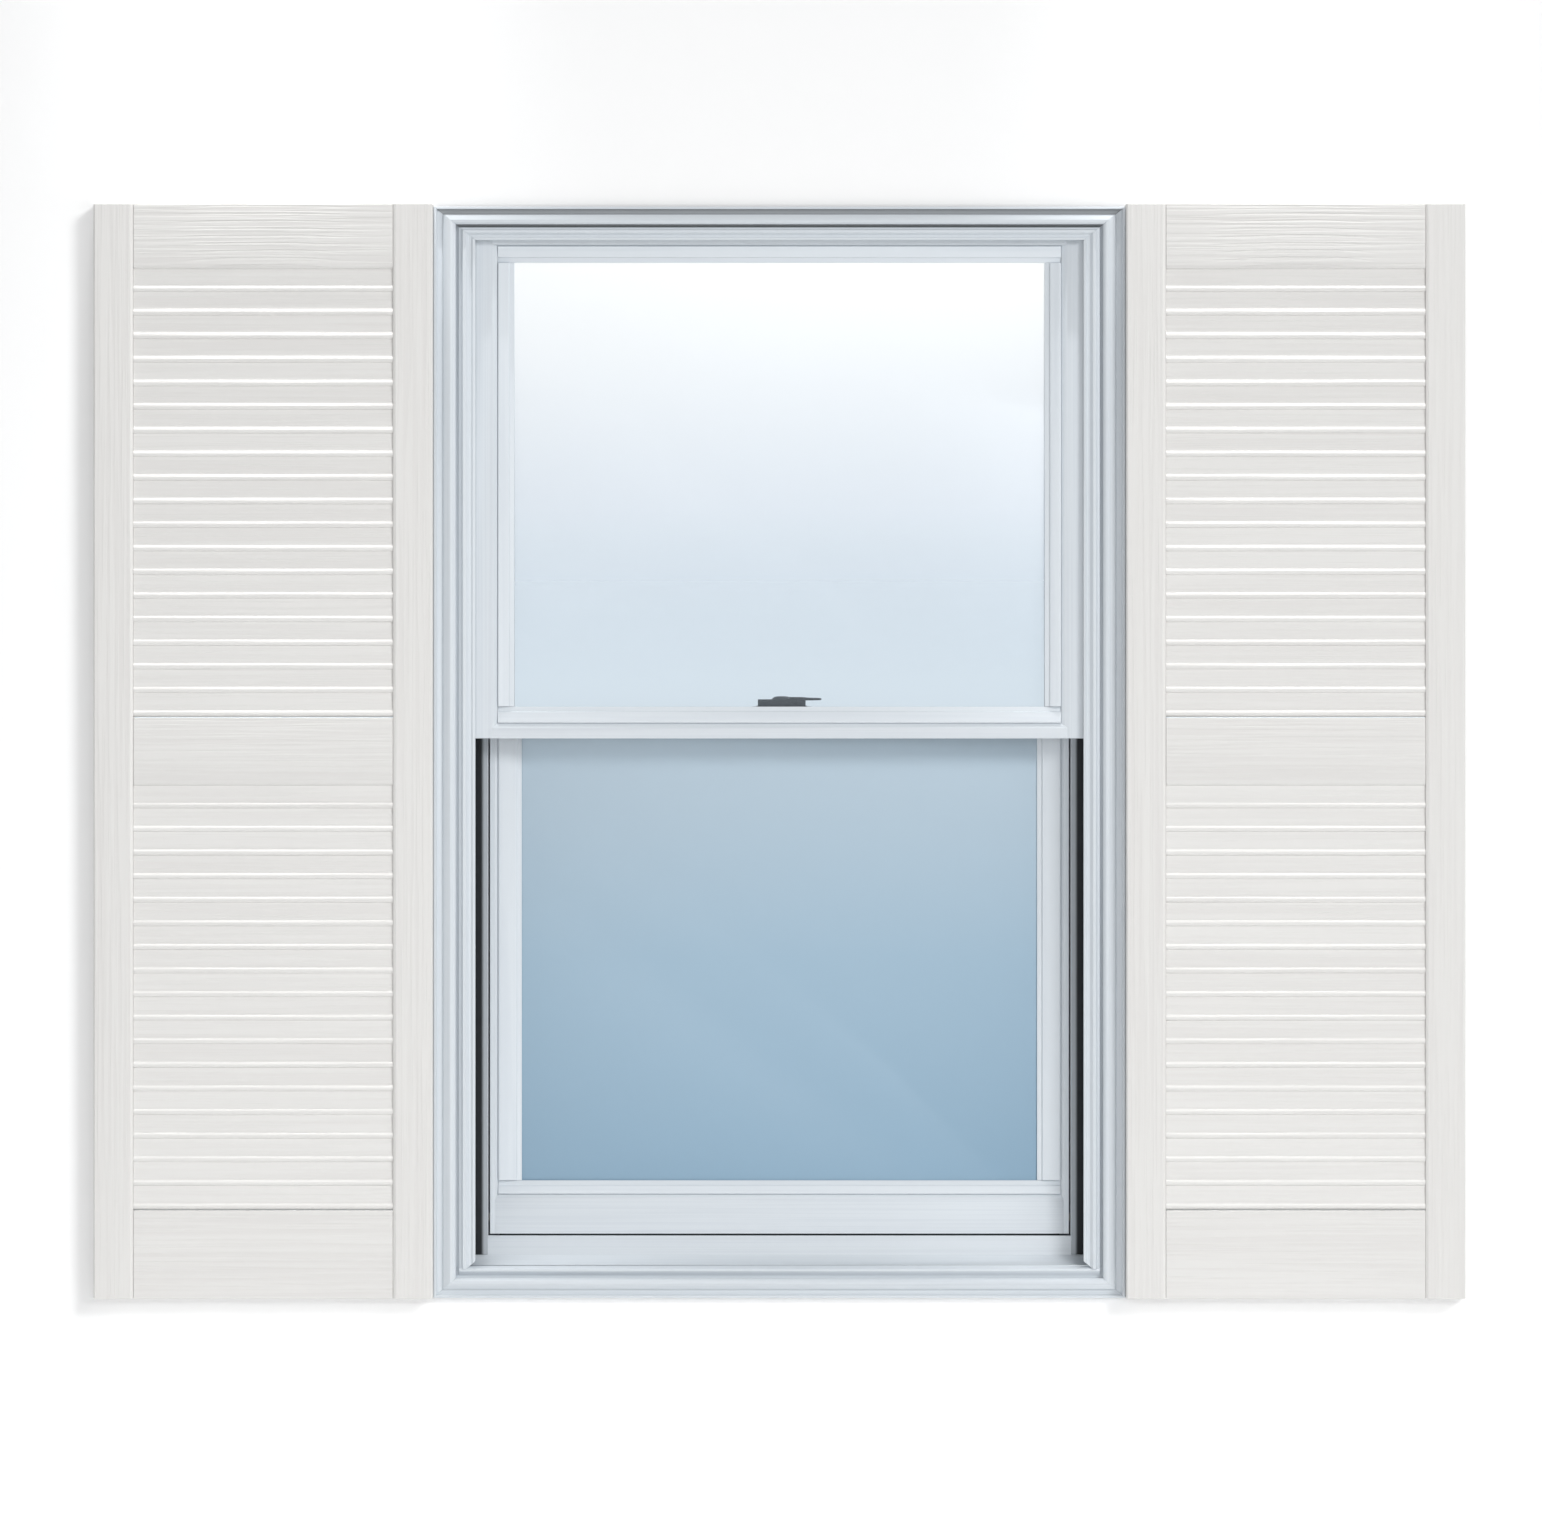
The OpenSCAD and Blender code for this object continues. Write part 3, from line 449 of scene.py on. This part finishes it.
# Where the nose starts, in degrees, and the face's points from the top down, as y and z from its middle
NOSE_STARTS = 132.4
FACE = (
    (0.0037, 0.0215), (-0.0006, 0.0215), (-0.0015, 0.02185), (-0.00153, 0.0212),
    (-0.00217, 0.0059), (-0.0022, 0.0053), (-0.00235, 0.0043))


def louvre_bank(node, left, right, seed):
    """Fills a bank's box with louvres and says how many there are."""
    low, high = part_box(node)
    back_r = LOUVRE_T / 2
    nose = low.y + NOSE_R, low.z + NOSE_R
    slope = math.radians(LOUVRE_ANGLE)
    reach = (high.y - back_r - nose[0]) / math.cos(slope)
    back = nose[0] + reach * math.cos(slope), nose[1] + reach * math.sin(slope)
    turn = math.degrees(math.asin(back_r / NOSE_R))
    outline = arc(nose, NOSE_R, NOSE_STARTS, LOUVRE_ANGLE + 360 - turn, NOSE_STEPS)
    outline += arc(back, back_r, LOUVRE_ANGLE - 90, LOUVRE_ANGLE + 90, BACK_STEPS)
    outline += [(nose[0] + y, nose[1] + z) for y, z in FACE]
    louvre = drawn_along(node + "_moulded", outline, lambda p: (left, *p), lambda p: (right, *p))
    height = back[1] + back_r - low.z
    count = round((high.z - low.z - height) / PITCH) + 1
    middle = (left + right) / 2
    repeated(
        louvre, count=count, pitch=(0, 0, PITCH), turned_about=(middle, *nose),
        tilt=(math.radians(TILT), 0, 0), seed=seed, material=louvre_grain_painted_light)
    stands_for(louvre, louvre_grain_painted_light, node)
    return count


for seed, (side, ends) in enumerate(fields.items()):
    made = [louvre_bank(f"{side}_{place}_louvres", *ends, SEED_STEP * seed + i)
            for i, place in enumerate(("upper", "lower"))]
    print(side, "louvres:", made)

# %% [markdown]
# ## Window finish
# The casing, the frame and the sashes are extruded vinyl of a cooler white, with a satin skin and faint
# lines along each length from the die. Painted shade darkens the two grooves above the frame's head, where
# the lip above them keeps the light off. A piece of its own could carry the shade, but it would show an
# edge, so the place on the piece picks the colour. The liner between the tracks is picked in the same way:
# its own grey, with painted shade that turns it black towards the wall.

# %% Window finish
VINYL = (0.715, 0.760, 0.800)
VINYL_SHADE = (0.680, 0.726, 0.770)
# Painted shade for the grooves above the head, which the lip above them keeps from the light
GROOVE_PAINTED_SHADE = (0.34, 0.36, 0.38)
ACROSS_DIE, ALONG_DIE = 500, 3
GROOVE_Y = -0.0086, -0.0066
HEAD_LIP_Z, LIP_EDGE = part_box("frame_head")[1].z - 0.022, 0.0003
# The liner's own grey, and the painted shade that turns it black towards the wall, where no light reaches
LINER_GREY, LINER_PAINTED_SHADE = (0.42, 0.45, 0.48), (0.012, 0.014, 0.017)
LINER_SHADE_FADE = 0.3212, 0.3255


def vinyl(name, die_lines, bright=1.0, shaded_where=None):
    """Vinyl with its die lines along one axis, and painted shade where the given function says so."""
    finish = Finish(name, Roughness=0.3, Coat_Weight=0.15, Coat_Roughness=0.2)
    lines = finish.noise(die_lines, detail=2.0)
    colours = [[min(1.0, part * bright) for part in colour] for colour in (VINYL_SHADE, VINYL)]
    colour = finish.blend(finish.step(lines, 0.35, 0.6), *colours)
    # Painted shade wherever the given function picks
    if shaded_where:
        colour = finish.blend(shaded_where(finish), colour, GROOVE_PAINTED_SHADE)
    finish.wire(finish.main, {"Base Color": colour, "Roughness": 0.26 + 0.12 * lines})
    finish.bump(lines, 0.00004)
    return finish.material


def head_groove_shade(finish):
    """1 in the two grooves above the head's lip, where the shade is painted, and 0 elsewhere."""
    _, y, z = finish.place()
    return finish.step(y, *GROOVE_Y) * finish.step(z, HEAD_LIP_Z - LIP_EDGE, HEAD_LIP_Z + LIP_EDGE)


vinyl_upright = vinyl("vinyl_upright", (ACROSS_DIE, ACROSS_DIE, ALONG_DIE))
vinyl_head = vinyl("vinyl_head", (ALONG_DIE, ACROSS_DIE, ACROSS_DIE), shaded_where=head_groove_shade)
vinyl_level = vinyl("vinyl_level", (ALONG_DIE, ACROSS_DIE, ACROSS_DIE))
bead_vinyl = vinyl("bead_vinyl", (ALONG_DIE, ACROSS_DIE, ALONG_DIE), bright=1.06)

liner = Finish("liner_grey", Roughness=0.6)
liner_x, _, _ = liner.place()
# Painted shade: black towards the wall, the liner's own grey nearer the middle
shade_towards_wall = liner.step(liner_x.size(), *LINER_SHADE_FADE)
liner.wire(liner.main, {"Base Color": liner.blend(shade_towards_wall, LINER_GREY, LINER_PAINTED_SHADE)})
liner.bump(liner.noise((4, 900, 4)), 0.00005)

rubber = Finish("seal_rubber", Roughness=0.75)
rubber_grain = rubber.noise((700, 700, 700), detail=2.0)
rubber.wire(rubber.main, {
    "Base Color": rubber.blend(rubber_grain, (0.02, 0.02, 0.022), (0.045, 0.045, 0.05))})
rubber.bump(rubber_grain, 0.0001)

zinc = Finish("zinc_plate", Metallic=1.0, Roughness=0.35)
zinc_flow = zinc.noise((300, 300, 12))
zinc.wire(zinc.main, {
    "Base Color": zinc.blend(zinc_flow, (0.45, 0.46, 0.47), (0.66, 0.66, 0.67)),
    "Roughness": 0.28 + 0.2 * zinc_flow})

nylon = Finish("natural_nylon", Roughness=0.5)
nylon_clouds = nylon.noise((60, 60, 60))
nylon.wire(nylon.main, {"Base Color": nylon.blend(nylon_clouds, (0.72, 0.71, 0.67), (0.82, 0.81, 0.77))})
print("window finishes:", len(bpy.data.materials))

# %% [markdown]
# ## Window members
# The packed model already holds these sections at their true size, with their mitres and screw holes. To
# draw them again would only risk a mismatch. So each one is copied, its loose triangles are merged into
# whole faces, and the edges are rounded as on an extrusion. The original stays for the motion.

# %% Window members
FLAT_BELOW = 0.4
VINYL_EASED, BEAD_EASED, SEAL_EASED, THIN_EASED, GLASS_EASED = 0.0006, 0.0004, 0.0008, 0.0003, 0.0005


def copied(node):
    """A copy of a packed node with its flat faces whole again."""
    def build(shape):
        shape.from_mesh(frame["nodes"][node].data)
        bmesh.ops.remove_doubles(shape, verts=shape.verts, dist=MERGE)
        bmesh.ops.dissolve_limit(
            shape, angle_limit=math.radians(FLAT_BELOW), verts=shape.verts, edges=shape.edges)
    return mesh_object(node + "_eased", build)


def eased(node, material, width, segments=2):
    """A copy of a packed node with rounded edges, in its place."""
    return stands_for(soften(copied(node), width, segments), material, node)


def along_z(node):
    low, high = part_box(node)
    return high.z - low.z > high.x - low.x


members = [node for node in body_of if slot_of[node] == "window_vinyl" and "balance" not in node]
for node in members:
    level_vinyl = vinyl_head if node in ("frame_head", "casing_top") else vinyl_level
    eased(node, vinyl_upright if along_z(node) else level_vinyl, VINYL_EASED)
for sash in ("upper_sash", "lower_sash"):
    eased(sash + "_glazing_beads", bead_vinyl, BEAD_EASED)
    eased(sash + "_weatherstrip", rubber.material, SEAL_EASED)
    eased(sash + "_setting_blocks", rubber.material, THIN_EASED)
for side in ("left", "right"):
    eased("track_liner_" + side, liner.material, THIN_EASED)
print(len(members), "members eased")

# %% [markdown]
# ## Glass
# Each sash holds a sealed unit of two panes. Glass shows mostly what it reflects: here a bright sky that
# fades downwards, so the upper pane is almost white at its head and clear at its foot, where the lock shows
# behind it. The lower pane mirrors a deeper blue. The reflection is painted as a tint and an alpha that
# change with height, and on the upper pane also as a glow that grows towards its head, because a mirror of
# a real sky would need one in the scene.

# %% Glass
def glass(name, node, stops, alphas, reflection_glow=0.0):
    """Glass whose tint and alpha change between the stops, from 0 at the pane's foot to 1 at its head."""
    low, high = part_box(node)
    finish = Finish(name, Roughness=0.08, IOR=1.45, Coat_Weight=0.4, Coat_Roughness=0.03)
    _, _, z = finish.place()
    height = finish.step(z, low.z, high.z, "LINEAR")
    sky = finish.node("ShaderNodeValToRGB", {"stops": stops}, {"Fac": height})
    greys = [(stop, (alpha, alpha, alpha)) for stop, alpha in alphas]
    cover = finish.node("ShaderNodeValToRGB", {"stops": greys}, {"Fac": height})
    finish.wire(finish.main, {"Base Color": sky, "Alpha": cover})
    # Painted reflection: the pane glows brighter towards its head, for the sky it mirrors
    if reflection_glow:
        light = finish.blend(height ** 1.4, (0, 0, 0), (0.98, 1.0, 1.0))
        finish.wire(finish.main, {"Emission Color": light, "Emission Strength": reflection_glow})
    return finish.material


upper_glass = glass("upper_glass", "upper_sash_outer_pane", [
    (0.0, (0.60, 0.70, 0.80)), (0.45, (0.82, 0.87, 0.93)), (1.0, (0.97, 0.98, 0.98))],
    [(0.0, 0.03), (0.08, 0.05), (0.45, 0.5), (1.0, 0.9)], reflection_glow=0.25)
lower_glass = glass("lower_glass", "lower_sash_outer_pane", [
    (0.0, (0.30, 0.46, 0.60)), (0.5, (0.42, 0.58, 0.71)), (1.0, (0.64, 0.76, 0.85))],
    [(0.0, 0.88), (1.0, 0.80)])
inner_glass = glass("inner_glass", "upper_sash_inner_pane", [
    (0.0, (0.70, 0.80, 0.88)), (1.0, (0.85, 0.90, 0.94))],
    [(0.0, 0.04), (1.0, 0.10)])
for sash, material in (("upper_sash", upper_glass), ("lower_sash", lower_glass)):
    for pane, finish in (("outer_pane", material), ("inner_pane", inner_glass), ("spacer", zinc.material)):
        eased(f"{sash}_{pane}", finish, GLASS_EASED, 1)

# %% [markdown]
# ## Lock
# The sash lock is a small dark casting: a base with a tapered end, a cam, and a domed cap with a lever. The
# cap is a turned shape, so it is a stack of rings, and the lever is drawn out as rings that shrink towards
# its tip. A row of boxes with bevels would be quicker, but it would look sawn instead of cast.

# %% Lock
lock_metal = Finish("lock_metal", Metallic=0.3, Coat_Weight=0.3, Coat_Roughness=0.15)
cast = lock_metal.noise((260, 260, 260))
lock_metal.wire(lock_metal.main, {
    "Base Color": lock_metal.blend(cast, (0.014, 0.016, 0.02), (0.035, 0.038, 0.045)),
    "Roughness": 0.28 + 0.2 * cast})
lock_metal.bump(cast, 0.0001)

LEVER_END_R = 0.005
CAP_STEPS, LEVER_STEPS = 40, 16
BASE_EASED, CAM_EASED, KEEPER_EASED = 0.0009, 0.0006, 0.0004
# Rings of the cap, as shares of its radius and height, from its foot up
CAP_RINGS = (1.0, 0.0), (1.0, 0.35), (0.94, 0.62), (0.76, 0.86), (0.45, 0.98), (0.12, 1.0)
# Rings of the lever, as shares of its reach and half width, and of the cap's height below and above
LEVER_RINGS = (
    (0.05, 1.0, 0.18, 0.86), (0.5, 1.0, 0.18, 0.84), (0.7, 0.86, 0.2, 0.72),
    (0.86, 1.0, 0.22, 0.70), (0.96, 0.86, 0.26, 0.66), (1.0, 0.42, 0.34, 0.56))


def turn_in(steps):
    """The angles of one turn in equal steps."""
    return [math.tau * i / steps for i in range(steps)]


def rounded(value):
    """Turns the sine of a circle into that of a soft square."""
    return math.copysign(abs(value) ** 0.6, value)


def loft(shape, rings, close_end=True):
    """Joins rings of points into one skin, closed at its start and, unless it's told not to, its end."""
    for one, two in zip(rings, rings[1:]):
        for i in range(len(one)):
            j = (i + 1) % len(one)
            shape.faces.new([one[i], one[j], two[j], two[i]])
    shape.faces.new(rings[0])
    if close_end:
        shape.faces.new(rings[-1])


def lever():
    """The cap over the cam, with its lever towards +X."""
    low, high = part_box("lock_lever")
    cam_low, cam_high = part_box("lock_cam")
    cap_r = (cam_low.x + cam_high.x) / 2 - low.x
    centre = Vector((low.x + cap_r, (low.y + high.y) / 2, low.z))
    tall = high.z - low.z

    def build(shape):
        def point(x, y, z):
            return shape.verts.new(centre + Vector((x, y, z)))

        loft(shape, [
            [point(cap_r * share * math.cos(a), cap_r * share * math.sin(a), tall * h)
             for a in turn_in(CAP_STEPS)] for share, h in CAP_RINGS])
        rings = []
        for reach, half, foot, head in LEVER_RINGS:
            middle, half_tall = (foot + head) / 2 * tall, (head - foot) / 2 * tall
            rings.append([
                point((high.x - centre.x) * reach, LEVER_END_R * half * rounded(math.cos(a)),
                      middle + half_tall * rounded(math.sin(a))) for a in turn_in(LEVER_STEPS)])
        loft(shape, rings)
    return mesh_object("lock_lever_cast", build)


stands_for(lever(), lock_metal.material, "lock_lever")
eased("lock_base", lock_metal.material, BASE_EASED, 3)
eased("lock_cam", lock_metal.material, CAM_EASED)
eased("keeper", lock_metal.material, KEEPER_EASED)

# %% [markdown]
# ## Screws and balances
# The screws are one pan head with a cross slot, set out in pairs by the row tree. The slot's rim and the
# head's edge are filled with triangles between them, which is simpler than cutting a cross out with a
# boolean. The balances are hidden in the jambs, so their packed shapes only get a finish.

# %% Screws
HEAD_H = 0.0012
SLOT_W, SLOT_DEPTH, SLOT_SHARE = 0.0011, 0.0008, 0.48
SHANK_SHARE = 0.6
SCREW_STEPS = 24


def screw_pair(node, axis):
    """Two pan heads with a cross slot, which point along +Z or +Y, with a row of two along X."""
    low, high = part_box(node)
    along = "xyz".index(axis)
    length, head_r = high[along] - low[along], (high - low)[3 - along] / 2
    foot = Vector((low.x + head_r, (low.y + high.y) / 2, (low.z + high.z) / 2))
    foot[along] = low[along]

    def place(x, y, h):
        return foot + Vector((x, y, h) if axis == "z" else (x, h, -y))

    def circle(shape, radius, h):
        return [shape.verts.new(place(radius * math.cos(a), radius * math.sin(a), h))
                for a in turn_in(SCREW_STEPS)]

    def build(shape):
        under = length - HEAD_H
        rings = [circle(shape, head_r * share, h) for share, h in (
            (SHANK_SHARE, 0), (SHANK_SHARE, under), (1.0, under), (1.0, under + HEAD_H * 0.4),
            (0.88, under + HEAD_H * 0.85), (0.62, length))]
        loft(shape, rings, close_end=False)
        half, reach = SLOT_W / 2, head_r * SLOT_SHARE
        quarter = [(reach, -half), (reach, half), (half, half)]
        cross = [turned(point, quarters) for quarters in range(4) for point in quarter]
        rim, floor = [[shape.verts.new(place(x, y, h)) for x, y in cross]
                      for h in (length, length - SLOT_DEPTH)]
        for i in range(len(cross)):
            j = (i + 1) % len(cross)
            shape.faces.new([rim[i], rim[j], floor[j], floor[i]])
        shape.faces.new(floor)
        edges = [shape.edges.get((loop[i - 1], loop[i])) or shape.edges.new((loop[i - 1], loop[i]))
                 for loop in (rim, rings[-1]) for i in range(len(loop))]
        bmesh.ops.triangle_fill(shape, use_beauty=True, edges=edges)

    screw = mesh_object(node + "_turned", build)
    repeated(screw, count=2, pitch=(high.x - low.x - 2 * head_r, 0, 0), turned_about=(0, 0, 0),
             tilt=(0, 0, 0), seed=1, material=zinc.material)
    return stands_for(screw, zinc.material, node)


def turned(point, quarters):
    """The point after some quarter turns."""
    for _ in range(quarters):
        point = -point[1], point[0]
    return point


screw_pair("lock_screws", "z")
screw_pair("keeper_screws", "y")

for node, obj in frame["nodes"].items():
    if "balance" in node:
        finish = zinc if "rods" in node else nylon
        obj.data.materials.clear()
        obj.data.materials.append(vinyl_upright if "tubes" in node else finish.material)
print("balance parts:", [node for node in frame["nodes"] if "balance" in node])

# %% [markdown]
# ## Studio
# The shutters hang before a white board, so that their edges throw a soft shadow on it. The board has a
# hole a little smaller than the part, so that light also reaches the part's back, and a narrow strip closes
# the joint beside each shutter. It faces forwards only: from behind it is clear, so that the part's back
# can be seen too, and a floor there runs level with the foot of the window. A pale card stands behind the
# window, because the clear part of the upper pane would look out on nothing.

# %% Stage
FLOOR_HALF, FLOOR_FRONT, FLOOR_BACK = 6.0, -14, 6
FLOOR_DROP, FLOOR_BEHIND = 0.30, -0.0005
BOARD_Y, BOARD_HALF, BOARD_TOP = 0.0006, 3, 2.6
LAP, JOINT_COVER = 0.004, 0.001
CARD_Y, CARD_HALF, CARD_FOOT, CARD_TOP = 0.9, 1, -0.4, 1.7


def sheet(name, quads, colour, **sockets):
    """Flat pieces of the studio, each given by its four corners, in one plain colour."""
    mesh = bpy.data.meshes.new(name)
    corners = [corner for quad in quads for corner in quad]
    mesh.from_pydata(corners, [], [tuple(range(i, i + 4)) for i in range(0, len(corners), 4)])
    obj = bpy.data.objects.new(name, mesh)
    bpy.context.collection.objects.link(obj)
    finish = Finish(name, Base_Color=colour, Roughness=0.95, Specular_IOR_Level=0.1, **sockets)
    mesh.materials.append(finish.material)
    return finish


def lying(y0, y1, z):
    return [(-FLOOR_HALF, y0, z), (FLOOR_HALF, y0, z), (FLOOR_HALF, y1, z), (-FLOOR_HALF, y1, z)]


def standing(x0, x1, z0, z1, y=BOARD_Y):
    return [(x0, y, z0), (x1, y, z0), (x1, y, z1), (x0, y, z1)]


hole = cad_bounds[1].x - LAP
hole_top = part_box("casing_top")[1].z - LAP
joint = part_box("casing_right")[1].x
sheet("floor", [
    lying(FLOOR_FRONT, BOARD_Y, -FLOOR_DROP), lying(BOARD_Y, FLOOR_BACK, FLOOR_BEHIND)],
    (0.9, 0.9, 0.9))
board = sheet("board", [
    standing(-BOARD_HALF, -hole, -FLOOR_DROP, BOARD_TOP),
    standing(hole, BOARD_HALF, -FLOOR_DROP, BOARD_TOP),
    standing(-hole, hole, hole_top, BOARD_TOP), standing(-hole, hole, -FLOOR_DROP, LAP),
    standing(-joint - LAP, -joint + JOINT_COVER, LAP, hole_top),
    standing(joint - JOINT_COVER, joint + LAP, LAP, hole_top)],
    (0.97, 0.97, 0.97), Emission_Color=(1, 1, 1), Emission_Strength=0.08)
card = sheet("sky_card", [standing(-CARD_HALF, CARD_HALF, CARD_FOOT, CARD_TOP, CARD_Y)],
             (0.0, 0.0, 0.0), Emission_Color=(0.68, 0.775, 0.85), Emission_Strength=1.0)
for front_only in (board, card):
    behind = front_only.node("ShaderNodeNewGeometry", {}, {}, "Backfacing")
    clear = front_only.node("ShaderNodeBsdfTransparent", {}, {})
    shown = front_only.node("ShaderNodeMixShader", {}, {
        0: behind, 1: Value(front_only, front_only.main.outputs[0]), 2: clear})
    front_only.wire(front_only.tree.nodes["Material Output"], {"Surface": shown})
print("board with a hole", round(2 * hole, 3), "m wide")

# %% [markdown]
# ## Light
# An even white sky fills everything. A large light far off to the right and above models the sections and
# throws the short shadows; far off, it lights both shutters alike. A long strip in front, aimed low, lights
# the foot a little more than the head. A small light high above each shutter grazes the faces and catches
# only the noses of the louvres, more at the head than at the foot. The glass doesn't mirror these lights.

# %% Light
SKY, FRONT, SIDE, ABOVE = 0.40, 11.0, 1900, 0.6
SHUTTER_MIDDLE = 0.56


def soft_light(name, place, aim, size, power, spread=180):
    """An area light of some watts, whose beam is as wide as spread says, in degrees."""
    lamp = bpy.data.lights.new(name, "AREA")
    lamp.shape, lamp.energy = "RECTANGLE", power
    lamp.size, lamp.size_y = size
    lamp.spread = math.radians(spread)
    light = bpy.data.objects.new(name, lamp)
    light.location = place
    light.rotation_euler = (Vector(aim) - Vector(place)).to_track_quat("-Z", "Y").to_euler()
    light.visible_glossy = False
    bpy.context.collection.objects.link(light)


world = bpy.data.worlds.new("sky")
world.use_nodes = True
background = world.node_tree.nodes["Background"].inputs
background["Color"].default_value = (0.98, 0.99, 1.0, 1.0)
background["Strength"].default_value = SKY
bpy.context.scene.world = world
bpy.context.scene.view_settings.view_transform = "Standard"
soft_light("front", (0.0, -2.2, 0.55), (0, 0, -0.6), (2.6, 0.3), FRONT)
soft_light("side", (12.0, -16.0, 10.6), (0, 0, 0.6), (6.0, 6.0), SIDE)
for side, x in (("left", -SHUTTER_MIDDLE), ("right", SHUTTER_MIDDLE)):
    soft_light("above_" + side, (x, -0.115, 2.3), (x, -0.025, 0.6), (0.36, 0.05), ABOVE, 26)
print("lights:", len(bpy.data.lights))

# %% [markdown]
# ## Finish
# The finished model has to keep the packed model's size.
